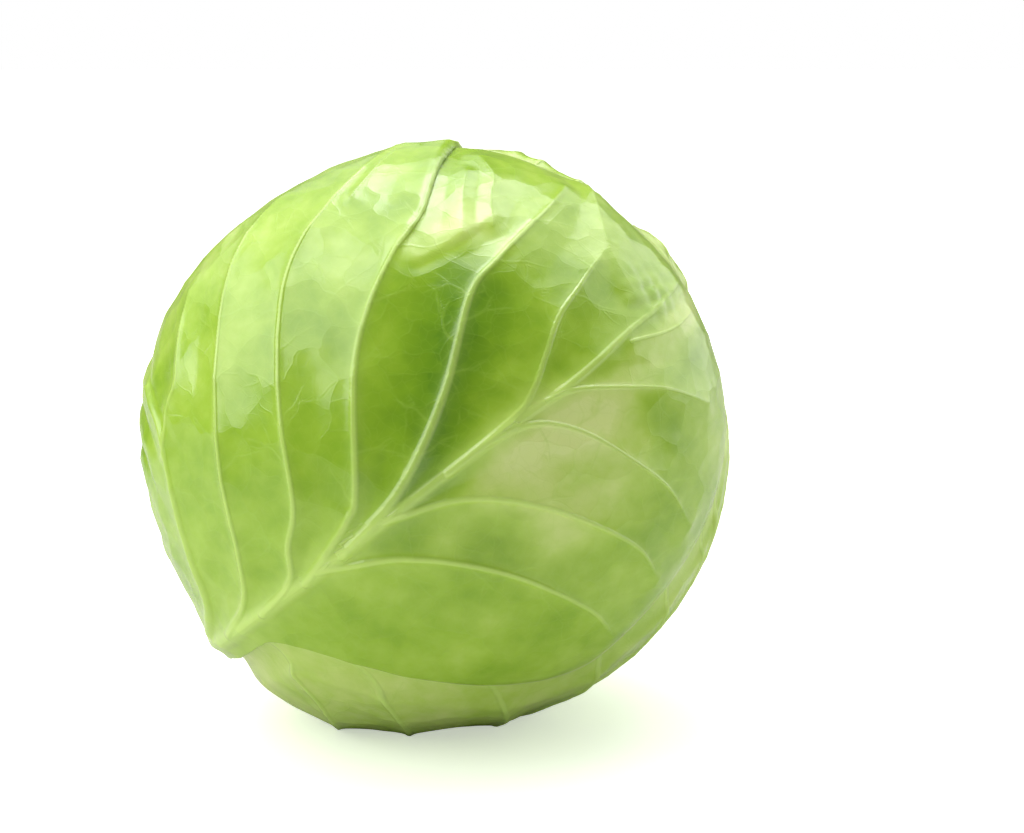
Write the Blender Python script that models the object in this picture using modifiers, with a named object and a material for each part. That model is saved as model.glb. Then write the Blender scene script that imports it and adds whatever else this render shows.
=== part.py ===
"""A round white cabbage head, lying on its side as it comes to rest on a table.

A short tapered stem core runs from the cut stump to the heart. Wrapper leaves, one under
another, close round the whole head, and below them the heart leaves are nested round the
core down to a small closed bud. Every leaf springs from the core and curls over the head
towards the apex.

Frame: metres, +Z up. The origin is at the middle of the head's underside, the view from
the front looks along +Y, and the cut stump points down to the left (-X).
"""
import math
from collections import namedtuple

import bmesh
import bpy
from mathutils import Vector

# Size of the head, in metres
HEAD_RADIUS = 0.0915
FOOT_DROP = 0.0875          # from the head's centre down to the flat spot it rests on
STEM_DIRECTION = Vector((-0.725, 0.06, -0.685)).normalized()
FACING = Vector((0.0, -1.0, 0.0))   # leaf azimuth 0 is the side of the stem that faces here

# Stem core: a tapered rod from the cut face to just short of the bud
STUMP_REACH = 0.0915
CORE_TOP_REACH = 0.014
CORE_BASE_RADIUS = 0.0120
CORE_TOP_RADIUS = 0.0075
CORE_SIDES = 20
CUT_EDGE_ANGLE = 40.0       # degrees from which an edge of the core shows as sharp

# Leaf blades
BLADE = 0.0012              # thickness of a blade between its ribs
HEART_BLADE = 0.0020        # the heart leaves are crimped, so each fills a thicker shell
LAYER_STEP = 0.0029         # how far each wrapper leaf presses the ones under it inwards
CORE_CLEARANCE = 0.0012
RIB_HEIGHT = 0.0046         # midrib standing out of the blade at the leaf's foot
RIB_TIP_SHARE = 0.10        # share of that height left at the tip
RIB_HALF_WIDTH = 10.0       # in degrees, at the leaf's foot
RIB_TIP_WIDTH_SHARE = 0.34
RIB_FADE = 0.16             # share of the leaf's length over which the height falls off
RIB_FADE_POWER = 1.4        # above 1, so the rib stays full next to the foot
RIB_NARROWING = 0.20        # share of the leaf's length over which the width falls off
LEAF_LENGTH = 170.0         # from foot to tip, in degrees, as the rib counts it
RIB_PRESS = 4.0             # a rib is flat where its leaf is pressed in by 1 / RIB_PRESS step
MIDRIB_CROWDING = 1.25      # above 1, so a leaf's grid is closer next to its midrib
LEAF_FOOT = -81.2           # the midrib's foot, in degrees from the leaf's middle
STEM_POLE = -90.0           # where the stem's own axis lies on that scale
FOOT_WRAP = 1.90            # how far round the core the foot's curved edge reaches
PRESS_FULL = 13.0           # degrees outside a leaf's edge where it still presses fully
PRESS_END = 40.0            # and where its press has faded away
ROUNDNESS = 2.6             # exponent of the superellipse that rounds the leaf's top

# Heart
BUD_RADIUS = 0.0110
HEART_OUTER_RADIUS = 0.0640
HEART_INNER_RADIUS = 0.0195
HEART_LEAF_COUNT = 10
GOLDEN_ANGLE = 137.5
HEART_SEGMENTS = 9
HEART_TIP = 88.0            # reach towards the apex, in degrees
HEART_TURN = 30.0           # azimuth of the outermost heart leaf
BUD_SUBDIVISIONS = 2

# Soft swellings and dips of the head: direction, share of the radius, width in degrees
SWELLINGS = (
    (Vector((-0.50, 0.16, 0.85)), -0.035, 26.0),
    (Vector((-0.97, 0.00, -0.20)), -0.014, 16.0),
    (Vector((-0.42, -0.20, -0.88)), 0.045, 22.0),
    (Vector((0.10, 0.15, 0.98)), -0.012, 18.0),
    (Vector((0.62, 0.10, 0.78)), -0.020, 14.0),
    (Vector((0.30, 0.95, 0.10)), -0.020, 40.0),
)

# A leaf side: its reach from the midrib, the share of that at the foot, how far up the leaf
# it stays narrow (share of the lower half) and how fast it then widens (1 slow, 0.5 fast)
Side = namedtuple("Side", "reach foot_share narrow spread")
Leaf = namedtuple("Leaf", "name azimuth left right tip segments colour")

WIDE = Side(76.0, 0.24, 0.0, 0.5)
BROAD = Side(100.0, 0.24, 0.0, 0.5)
SLENDER = Side(60.0, 0.09, 0.50, 1.0)

# Wrapper leaves from the outermost inwards; azimuths run round the stem
WRAPPER_LEAVES = (
    Leaf("wrapper_leaf_front", 4.0, BROAD, SLENDER, 90.0, 16, "8FB83A"),
    Leaf("wrapper_leaf_foot", 80.0, BROAD, WIDE, 94.0, 16, "9DC04A"),
    Leaf("wrapper_leaf_right", 156.0, WIDE, WIDE, 96.0, 15, "A4C452"),
    Leaf("wrapper_leaf_back", 226.0, WIDE, WIDE, 96.0, 15, "97BD45"),
    Leaf("wrapper_leaf_top", 290.0, WIDE, WIDE, 98.0, 15, "A9CC58"),
    Leaf("wrapper_leaf_under_foot", 50.0, WIDE, WIDE, 90.0, 14, "B7D26C"),
    Leaf("wrapper_leaf_under_back", 170.0, WIDE, WIDE, 90.0, 14, "B7D26C"),
    Leaf("wrapper_leaf_under_top", 300.0, WIDE, WIDE, 90.0, 14, "B7D26C"),
)
CORE_COLOUR = "D9DDA4"
WRAPPER_ROUGHNESS = 0.42
HEART_ROUGHNESS = 0.45
CORE_ROUGHNESS = 0.55
HEART_COLOUR = "D7DF8C"
BUD_COLOUR = "E6E08A"


def smooth(value):
    """Ease from 0 to 1."""
    value = max(0.0, min(1.0, value))
    return value * value * (3.0 - 2.0 * value)


def linear_colour(hex_code):
    """An sRGB hex colour as the linear RGBA that a shader socket takes."""
    values = [int(hex_code[i:i + 2], 16) / 255.0 for i in (0, 2, 4)]
    linear = [v / 12.92 if v <= 0.04045 else ((v + 0.055) / 1.055) ** 2.4 for v in values]
    return (*linear, 1.0)


def leaf_axes(leaf):
    """The leaf's middle direction, and the directions across it and towards its tip."""
    facing = (FACING - STEM_DIRECTION * FACING.dot(STEM_DIRECTION)).normalized()
    across = facing.cross(STEM_DIRECTION)
    turn = math.radians(leaf.azimuth)
    middle = facing * math.cos(turn) + across * math.sin(turn)
    sideways = across * math.cos(turn) - facing * math.sin(turn)
    return middle, sideways, -STEM_DIRECTION


def leaf_direction(leaf, across, along):
    """The direction from the head's centre to a leaf point given in degrees."""
    middle, sideways, upward = leaf_axes(leaf)
    turn = math.hypot(across, along)
    if turn < 1e-6:
        return middle
    lean = (sideways * across + upward * along) / turn
    angle = math.radians(turn)
    return middle * math.cos(angle) + lean * math.sin(angle)


def leaf_place(leaf, direction):
    """The reverse of leaf_direction: a direction as degrees across and along the leaf."""
    middle, sideways, upward = leaf_axes(leaf)
    cosine = max(-1.0, min(1.0, direction.dot(middle)))
    turn = math.acos(cosine)
    if turn < 1e-6:
        return 0.0, 0.0
    scale = math.degrees(turn) / math.sin(turn)
    return direction.dot(sideways) * scale, direction.dot(upward) * scale


def side_width(side, along):
    """How far the leaf reaches from its midrib, in degrees, below its middle."""
    rise = 1.0 - along / LEAF_FOOT
    widening = smooth((rise - side.narrow) / (1.0 - side.narrow)) ** side.spread
    return side.reach * (side.foot_share + (1.0 - side.foot_share) * widening)


def outside_leaf(leaf, direction):
    """How many degrees a direction lies outside the leaf's outline."""
    across, along = leaf_place(leaf, direction)
    side = leaf.left if across < 0.0 else leaf.right
    if along < 0.0:
        width = side_width(side, max(along, LEAF_FOOT))
        slope = side_width(side, max(along + 1.0, LEAF_FOOT)) - width
        return max((abs(across) - width) / math.hypot(1.0, slope), LEAF_FOOT - along)
    ratio = (abs(across / side.reach) ** ROUNDNESS + (along / leaf.tip) ** ROUNDNESS)
    ratio = max(ratio, 1e-6) ** (1.0 / ROUNDNESS)
    return math.hypot(across, along) * (1.0 - 1.0 / ratio)


def head_radius(direction):
    """The head's own radius in a direction, before its flat foot."""
    share = 1.0
    for centre, amount, width in SWELLINGS:
        angle = math.degrees(centre.angle(direction))
        share += amount * math.exp(-(angle / width) ** 2)
    return HEAD_RADIUS * share


def foot_limit(direction):
    """How far a direction runs before it meets the surface that the head rests on."""
    return FOOT_DROP / -direction.z if direction.z < -1e-3 else math.inf


def pressed_depth(layer, direction):
    """How far the leaves outside this layer press it inwards."""
    depth = 0.0
    for outer in WRAPPER_LEAVES[:layer]:
        fade = (outside_leaf(outer, direction) - PRESS_FULL) / (PRESS_END - PRESS_FULL)
        depth += LAYER_STEP * (1.0 - smooth(fade))
    return depth


def rib_height(across, along):
    """How far the midrib stands out of the blade."""
    rise = max(0.0, (along - LEAF_FOOT) / LEAF_LENGTH)
    fading = math.exp(-(rise / RIB_FADE) ** RIB_FADE_POWER)
    height = RIB_HEIGHT * (RIB_TIP_SHARE + (1.0 - RIB_TIP_SHARE) * fading)
    narrowing = math.exp(-rise / RIB_NARROWING)
    width = RIB_HALF_WIDTH * (RIB_TIP_WIDTH_SHARE + (1.0 - RIB_TIP_WIDTH_SHARE) * narrowing)
    return height * math.exp(-(across / width) ** 2)


def foot_line(across, start):
    """The leaf's lower edge, which curves round the core at a distance of start degrees."""
    share = min(1.0, abs(across) / (FOOT_WRAP * start))
    return STEM_POLE + start * math.sqrt(1.0 - share * share)


def place_in_outline(leaf, u, v, start=LEAF_FOOT - STEM_POLE):
    """Map a square cell corner (u, v from -1 to 1) into the leaf's outline, in degrees."""
    side = leaf.left if u < 0.0 else leaf.right
    column = math.copysign(abs(u) ** MIDRIB_CROWDING, u)
    if v < 0.0:
        foot = foot_line(column * side.reach * side.foot_share, start)
        return column * side_width(side, -LEAF_FOOT * v), -foot * v
    norm = (abs(column) ** ROUNDNESS + v ** ROUNDNESS) ** (1.0 / ROUNDNESS)
    pull = max(abs(column), v) / norm if norm > 0.0 else 1.0
    return column * pull * side.reach, v * pull * leaf.tip


def material(name, hex_code, roughness):
    """A plain Principled material."""
    result = bpy.data.materials.new(name)
    result.use_nodes = True
    shader = result.node_tree.nodes["Principled BSDF"]
    shader.inputs["Base Color"].default_value = linear_colour(hex_code)
    shader.inputs["Roughness"].default_value = roughness
    shader.inputs["Metallic"].default_value = 0.0
    return result


def add_object(name, mesh_builder, hex_code, roughness, collection):
    """Turn a bmesh into a smooth-shaded object with its own material."""
    mesh = bpy.data.meshes.new(name)
    mesh_builder.normal_update()
    mesh_builder.to_mesh(mesh)
    mesh_builder.free()
    mesh.shade_smooth()
    mesh.materials.append(material(name + "_finish", hex_code, roughness))
    result = bpy.data.objects.new(name, mesh)
    collection.objects.link(result)
    return result


def face_outwards(builder):
    """Turn every face of a sheet away from the head's centre."""
    builder.normal_update()
    for face in builder.faces:
        if face.normal.dot(face.calc_center_median()) < 0.0:
            face.normal_flip()


def leaf_sheet(leaf, segments, surface):
    """A grid moved onto the leaf: surface gives each direction's radius and rib height."""
    builder = bmesh.new()
    bmesh.ops.create_grid(builder, x_segments=segments, y_segments=segments, size=1.0)
    layer = builder.verts.layers.deform.verify()
    for vertex in builder.verts:
        across, along = place_in_outline(leaf, vertex.co.x, vertex.co.y)
        direction = leaf_direction(leaf, across, along)
        radius, rib = surface(direction, across, along)
        vertex.co = direction * radius
        vertex[layer][0] = (BLADE + rib) / (BLADE + RIB_HEIGHT)
    face_outwards(builder)
    return builder


def add_wrapper_leaf(layer, leaf, collection):
    """A wrapper leaf: a blade with a raised midrib, pressed in by the leaves outside it."""
    def surface(direction, across, along):
        depth = pressed_depth(layer, direction)
        free = 1.0 - smooth(RIB_PRESS * depth / LAYER_STEP)
        rib = rib_height(across, along) * free
        limit = foot_limit(direction)
        skin = min(head_radius(direction), limit) - depth
        top = min(skin + rib, limit - depth)
        return top, top - skin

    sheet = leaf_sheet(leaf, leaf.segments, surface)
    result = add_object(leaf.name, sheet, leaf.colour, WRAPPER_ROUGHNESS, collection)
    result.vertex_groups.new(name="thickness")
    shell = result.modifiers.new("blade", "SOLIDIFY")
    shell.thickness = BLADE + RIB_HEIGHT
    shell.offset = -1.0
    shell.vertex_group = "thickness"
    return result


def core_radius(reach):
    """The stem core's radius at a distance from the head's centre."""
    share = (reach - CORE_TOP_REACH) / (STUMP_REACH - CORE_TOP_REACH)
    return CORE_TOP_RADIUS + (CORE_BASE_RADIUS - CORE_TOP_RADIUS) * share


def add_heart_leaf(index, collection):
    """One leaf of the heart: a nested cap that springs from the core."""
    share = index / (HEART_LEAF_COUNT - 1)
    radius = HEART_OUTER_RADIUS + (HEART_INNER_RADIUS - HEART_OUTER_RADIUS) * share
    start = math.degrees(math.asin((core_radius(radius) + CORE_CLEARANCE) / radius))
    leaf = Leaf("heart_leaf_%02d" % (index + 1), HEART_TURN + GOLDEN_ANGLE * index, BROAD,
                BROAD, HEART_TIP, HEART_SEGMENTS, HEART_COLOUR)
    builder = bmesh.new()
    bmesh.ops.create_grid(builder, x_segments=HEART_SEGMENTS, y_segments=HEART_SEGMENTS, size=1.0)
    for vertex in builder.verts:
        across, along = place_in_outline(leaf, vertex.co.x, vertex.co.y, start)
        vertex.co = leaf_direction(leaf, across, along) * radius
    face_outwards(builder)
    result = add_object(leaf.name, builder, HEART_COLOUR, HEART_ROUGHNESS, collection)
    shell = result.modifiers.new("blade", "SOLIDIFY")
    shell.thickness = HEART_BLADE
    shell.offset = -1.0
    return result


def add_stem_core(collection):
    """The solid stem core, from the cut stump to below the bud."""
    builder = bmesh.new()
    bmesh.ops.create_cone(builder, cap_ends=True, segments=CORE_SIDES, radius1=CORE_BASE_RADIUS,
                          radius2=CORE_TOP_RADIUS, depth=STUMP_REACH - CORE_TOP_REACH)
    turn = STEM_DIRECTION.to_track_quat("-Z", "Y").to_matrix().to_4x4()
    middle = STEM_DIRECTION * (STUMP_REACH + CORE_TOP_REACH) / 2.0
    bmesh.ops.transform(builder, matrix=turn, verts=builder.verts)
    bmesh.ops.translate(builder, vec=middle, verts=builder.verts)
    result = add_object("stem_core", builder, CORE_COLOUR, CORE_ROUGHNESS, collection)
    result.data.set_sharp_from_angle(angle=math.radians(CUT_EDGE_ANGLE))
    return result


def add_bud(collection):
    """The closed bud at the centre of the heart."""
    builder = bmesh.new()
    bmesh.ops.create_icosphere(builder, subdivisions=BUD_SUBDIVISIONS, radius=BUD_RADIUS)
    return add_object("heart_bud", builder, BUD_COLOUR, HEART_ROUGHNESS, collection)


def lowest_and_middle(objects):
    """The bottom of the assembled head and the middle of its box."""
    graph = bpy.context.evaluated_depsgraph_get()
    points = []
    for item in objects:
        shape = item.evaluated_get(graph)
        points.extend(vertex.co.copy() for vertex in shape.to_mesh().vertices)
        shape.to_mesh_clear()
    low = [min(point[i] for point in points) for i in range(3)]
    high = [max(point[i] for point in points) for i in range(3)]
    return Vector(((low[0] + high[0]) / 2.0, (low[1] + high[1]) / 2.0, low[2]))


def set_down(objects, origin):
    """Move the pieces so that the head stands on Z = 0 over the origin."""
    for item in objects:
        for vertex in item.data.vertices:
            vertex.co -= origin
        item.data.update()


def clear_scene():
    """Remove whatever the scene holds."""
    for item in list(bpy.data.objects):
        bpy.data.objects.remove(item, do_unlink=True)


def build_cabbage():
    """Make every piece of the head in its own collection."""
    clear_scene()
    collection = bpy.data.collections.new("cabbage_head")
    bpy.context.scene.collection.children.link(collection)
    pieces = [add_stem_core(collection), add_bud(collection)]
    for layer, leaf in enumerate(WRAPPER_LEAVES):
        pieces.append(add_wrapper_leaf(layer, leaf, collection))
    for index in range(HEART_LEAF_COUNT):
        pieces.append(add_heart_leaf(index, collection))
    set_down(pieces, lowest_and_middle(pieces))


build_cabbage()
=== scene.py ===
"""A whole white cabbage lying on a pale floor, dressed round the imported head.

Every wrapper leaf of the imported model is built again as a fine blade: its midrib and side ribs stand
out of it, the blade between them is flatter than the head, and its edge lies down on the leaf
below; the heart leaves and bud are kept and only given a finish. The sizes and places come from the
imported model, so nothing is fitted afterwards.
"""
import logging
import math
from collections.abc import Callable
from dataclasses import dataclass
from enum import Enum

import bpy
import numpy as np
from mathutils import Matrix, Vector


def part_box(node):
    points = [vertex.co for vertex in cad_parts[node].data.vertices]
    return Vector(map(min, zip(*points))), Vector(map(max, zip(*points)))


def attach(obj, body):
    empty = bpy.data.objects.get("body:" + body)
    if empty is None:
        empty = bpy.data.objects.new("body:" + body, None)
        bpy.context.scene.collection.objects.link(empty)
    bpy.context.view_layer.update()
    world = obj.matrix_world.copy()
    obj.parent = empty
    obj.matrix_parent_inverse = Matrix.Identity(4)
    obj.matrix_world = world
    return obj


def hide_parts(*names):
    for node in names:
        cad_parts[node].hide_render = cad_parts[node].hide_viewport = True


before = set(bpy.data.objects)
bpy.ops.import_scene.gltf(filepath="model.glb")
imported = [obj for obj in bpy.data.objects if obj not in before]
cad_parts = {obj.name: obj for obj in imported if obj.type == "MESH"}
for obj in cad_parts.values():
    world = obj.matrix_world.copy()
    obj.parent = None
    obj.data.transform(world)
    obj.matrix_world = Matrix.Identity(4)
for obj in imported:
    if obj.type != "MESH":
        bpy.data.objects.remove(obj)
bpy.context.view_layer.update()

LOG = logging.getLogger("cabbage")
MM = 0.001

LEAF_FOOT = -81.2       # the midrib's foot, in degrees from the leaf's middle
STEM_POLE = -90.0       # where the stem's own axis lies on that scale
FOOT_WRAP = 1.90        # how far round the core the foot's curved edge reaches
ROUNDNESS = 2.6         # exponent of the superellipse that rounds the leaf's top
LOBE_LENGTH = 7.6       # degrees from one low lobe of the left side to the next
LOBE_HEIGHT = 2.5       # millimetres
LOBE_SIDE = -76.0       # degrees round the stem
LOBE_SPREAD = 21.0      # degrees to either side
EDGE_WAVES = (5, 9, 14, 23, 37)     # waves round a leaf's edge, laid over one another
LEAF_LENGTH = 170.0     # from foot to tip, in degrees, as the stalk counts it
EDGE_SPAN = 80.0        # from a leaf's middle to its edge, in degrees, as the edge counts it
UNDER_STRIDE = 3        # the hidden underside has one cell for this many on top
RIM_PLACES = 997        # places in the texture map that the rim's corners share
UNDER_MAP_SHARE = 0.12  # share of the texture map's side that the underside takes


def smooth(value: np.ndarray) -> np.ndarray:
    """Ease from 0 to 1."""
    value = np.clip(value, 0.0, 1.0)
    return value * value * (3.0 - 2.0 * value)


def linear_colour(hex_code: str) -> tuple[float, float, float, float]:
    """Turn an sRGB hex colour into the linear RGBA that a socket takes."""
    values = [int(hex_code[i:i + 2], 16) / 255.0 for i in (0, 2, 4)]
    linear = [v / 12.92 if v <= 0.04045 else ((v + 0.055) / 1.055) ** 2.4 for v in values]
    return (*linear, 1.0)


def add_node(tree: bpy.types.NodeTree, kind: str, settings: dict | None = None,
             inputs: dict | None = None) -> bpy.types.Node:
    """Add a node with its settings, and set or link its inputs.

    Args:
        tree: The node tree that gets the node.
        kind: The node's type name.
        settings: Node properties by name.
        inputs: Values or output sockets by input name or number.

    Returns:
        The new node.
    """
    node = tree.nodes.new(kind)
    for name, value in (settings or {}).items():
        setattr(node, name, value)
    for name, value in (inputs or {}).items():
        if isinstance(value, bpy.types.NodeSocket):
            tree.links.new(value, node.inputs[name])
        else:
            node.inputs[name].default_value = value
    return node


@dataclass(frozen=True)
class NodeKit:
    """The few steps that the node trees here are put together from."""

    tree: bpy.types.NodeTree

    def attribute(self, name: str, output: str = "Fac") -> bpy.types.NodeSocket:
        """Read one of the mesh's attributes."""
        return add_node(self.tree, "ShaderNodeAttribute",
                        {"attribute_name": name}).outputs[output]

    def math_node(self, operation: str,
                  *values: bpy.types.NodeSocket | float) -> bpy.types.NodeSocket:
        """Add a Math node and give its output."""
        return add_node(self.tree, "ShaderNodeMath", {"operation": operation},
                        dict(enumerate(values))).outputs[0]

    def mix(self, share: bpy.types.NodeSocket | float, first: bpy.types.NodeSocket | tuple,
            second: bpy.types.NodeSocket | tuple) -> bpy.types.NodeSocket:
        """Blend two colours."""
        return add_node(self.tree, "ShaderNodeMix", {"data_type": "RGBA"},
                        {0: share, 6: first, 7: second}).outputs[2]

    def ease(self, value: bpy.types.NodeSocket, low: float, high: float, start: float = 0.0,
             end: float = 1.0) -> bpy.types.NodeSocket:
        """Ease from start to end while a value goes from low to high."""
        return add_node(self.tree, "ShaderNodeMapRange", {"interpolation_type": "SMOOTHSTEP"},
                        {"Value": value, "From Min": low, "From Max": high,
                         "To Min": start, "To Max": end}).outputs[0]

    def noise(self, place: bpy.types.NodeSocket, size: float, detail: float = 2.0,
              roughness: float = 0.5) -> bpy.types.NodeSocket:
        """Give soft noise whose patches are size millimetres across."""
        return add_node(self.tree, "ShaderNodeTexNoise", None,
                        {"Vector": place, "Scale": 1.0 / (size * MM), "Detail": detail,
                         "Roughness": roughness}).outputs[0]

    def ramp(self, value: bpy.types.NodeSocket, stops: tuple[tuple[float, str], ...],
             interpolation: str = "LINEAR") -> bpy.types.NodeSocket:
        """Turn a value into a colour.

        Args:
            value: The value, from 0 to 1.
            stops: Each stop's position and sRGB hex colour, in order.
            interpolation: How the ramp goes from stop to stop.

        Returns:
            The colour.
        """
        node = add_node(self.tree, "ShaderNodeValToRGB", None, {"Fac": value})
        node.color_ramp.interpolation = interpolation
        elements = node.color_ramp.elements
        while len(elements) < len(stops):
            elements.new(0.5)
        for element, (position, colour) in zip(elements, stops):
            element.position = position
            element.color = linear_colour(colour)
        return node.outputs["Color"]

    def bump(self, height: bpy.types.NodeSocket) -> bpy.types.NodeSocket:
        """Turn a height in millimetres into a bumped normal."""
        return add_node(self.tree, "ShaderNodeBump", None,
                        {"Height": height, "Strength": 1.0, "Distance": 1.0 * MM}).outputs[0]


def new_material(name: str) -> tuple[bpy.types.Material, bpy.types.Node]:
    """Start a material.

    Args:
        name: The material's name.

    Returns:
        The material and its Principled shader.
    """
    material = bpy.data.materials.new(name)
    material.use_nodes = True
    return material, material.node_tree.nodes["Principled BSDF"]


def curve_through(points: list[tuple[float, ...]], steps: int = 14) -> np.ndarray:
    """Draw a smooth line through a few points.

    Args:
        points: The points, in order.
        steps: How many steps each stretch is cut into.

    Returns:
        The line's points, one row each.
    """
    given = np.array(points, float)
    if len(given) < 3:
        share = np.linspace(0.0, 1.0, steps + 1)[:, None]
        return given[0] * (1.0 - share) + given[-1] * share
    ends = np.vstack([2 * given[0] - given[1], given, 2 * given[-1] - given[-2]])
    share = np.linspace(0.0, 1.0, steps, endpoint=False)[:, None]
    rows = []
    for a, b, c, d in zip(ends, ends[1:], ends[2:], ends[3:]):
        rows.append(0.5 * (2 * b + (c - a) * share + (2 * a - 5 * b + 4 * c - d) * share ** 2
                           + (3 * b - a - 3 * c + d) * share ** 3))
    return np.vstack(rows + [given[-1:]])


def grid_faces(count: int) -> list[tuple[int, int, int, int]]:
    """List the quads of a square grid with count points a side, as point numbers."""
    return [(row * count + col, row * count + col + 1, (row + 1) * count + col + 1,
             (row + 1) * count + col) for row in range(count - 1) for col in range(count - 1)]


def rim_faces(n: int, m: int) -> list[tuple[int, int, int]]:
    """Join the fine top grid's rim to the coarse underside's rim.

    Args:
        n: Points along one side of the top's grid.
        m: Points along one side of the underside's grid.

    Returns:
        The rim's triangles, as point numbers.
    """
    step = UNDER_STRIDE

    def rims(count: int) -> list[list[int]]:
        """List a grid's four rims in turn, as point numbers."""
        last = count - 1
        return [list(range(count)), [j * count + last for j in range(count)],
                [last * count + last - j for j in range(count)],
                [(last - j) * count for j in range(count)]]

    faces = []
    for fine, coarse in zip(rims(n), rims(m)):
        for k in range(m - 1):
            low, high = n * n + coarse[k], n * n + coarse[k + 1]
            run = fine[k * step:(k + 1) * step + 1]
            for a, b in zip(run[:-2], run[1:-1]):
                faces.append((low, b, a))
            faces.append((low, high, run[-2]))
            faces.append((high, run[-1], run[-2]))
    return faces


def write_value(mesh: bpy.types.Mesh, name: str, values: np.ndarray) -> None:
    """Write one number for each point."""
    layer = mesh.attributes.new(name, "FLOAT", "POINT")
    layer.data.foreach_set("value", np.asarray(values, np.float32))


def write_vector(mesh: bpy.types.Mesh, name: str, rows: np.ndarray) -> None:
    """Write three numbers for each point."""
    layer = mesh.attributes.new(name, "FLOAT_VECTOR", "POINT")
    layer.data.foreach_set("vector", np.asarray(rows, np.float32).ravel())


def read_vector(mesh: bpy.types.Mesh, name: str) -> np.ndarray:
    """Read three numbers for each point."""
    rows = np.empty(len(mesh.vertices) * 3, np.float32)
    mesh.attributes[name].data.foreach_get("vector", rows)
    return rows.reshape(-1, 3)


def read_points(mesh: bpy.types.Mesh) -> np.ndarray:
    """Read a mesh's points."""
    points = np.empty(len(mesh.vertices) * 3, np.float32)
    mesh.vertices.foreach_get("co", points)
    return points.reshape(-1, 3).astype(float)


@dataclass(frozen=True)
class Side:
    """One half of a leaf's outline.

    reach is how far it spreads from the midrib, in degrees round the head. foot_share is the
    share of that at the foot, narrow is how far up the lower half it stays narrow, and spread
    is how fast it then widens, 1 slow and 0.5 fast.
    """

    reach: float
    foot_share: float = 0.24
    narrow: float = 0.0
    spread: float = 0.5

    def width(self, along: np.ndarray) -> np.ndarray:
        """Say how far the half spreads at a height below the leaf's middle."""
        rise = 1.0 - np.clip(along, LEAF_FOOT, 0.0) / LEAF_FOOT
        widening = smooth((rise - self.narrow) / (1.0 - self.narrow)) ** self.spread
        return self.reach * (self.foot_share + (1.0 - self.foot_share) * widening)


class RibPlan(Enum):
    """Where a leaf's side ribs run."""

    FRONT = "listed rib by rib, for the leaf that is seen most"
    FOOT = "listed rib by rib on the left half, and spread by rule on the right"
    RULE = "spread by rule"


@dataclass(frozen=True)
class LeafPlan:
    """A leaf's place on the head, its outline and its habit."""

    name: str
    node: str
    slot: str
    azimuth: float
    left: Side
    right: Side
    tip: float
    cells: int
    seed: int
    tone: float
    rib_plan: RibPlan = RibPlan.RULE
    bow: tuple[tuple[float, float], ...] = ((-90.0, 0.0), (100.0, 0.0))

    def bow_at(self, along: np.ndarray) -> np.ndarray:
        """Say how far the midrib has swung sideways at a height, in degrees."""
        line = curve_through(list(self.bow))
        return np.interp(along, line[:, 0], line[:, 1])


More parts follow.
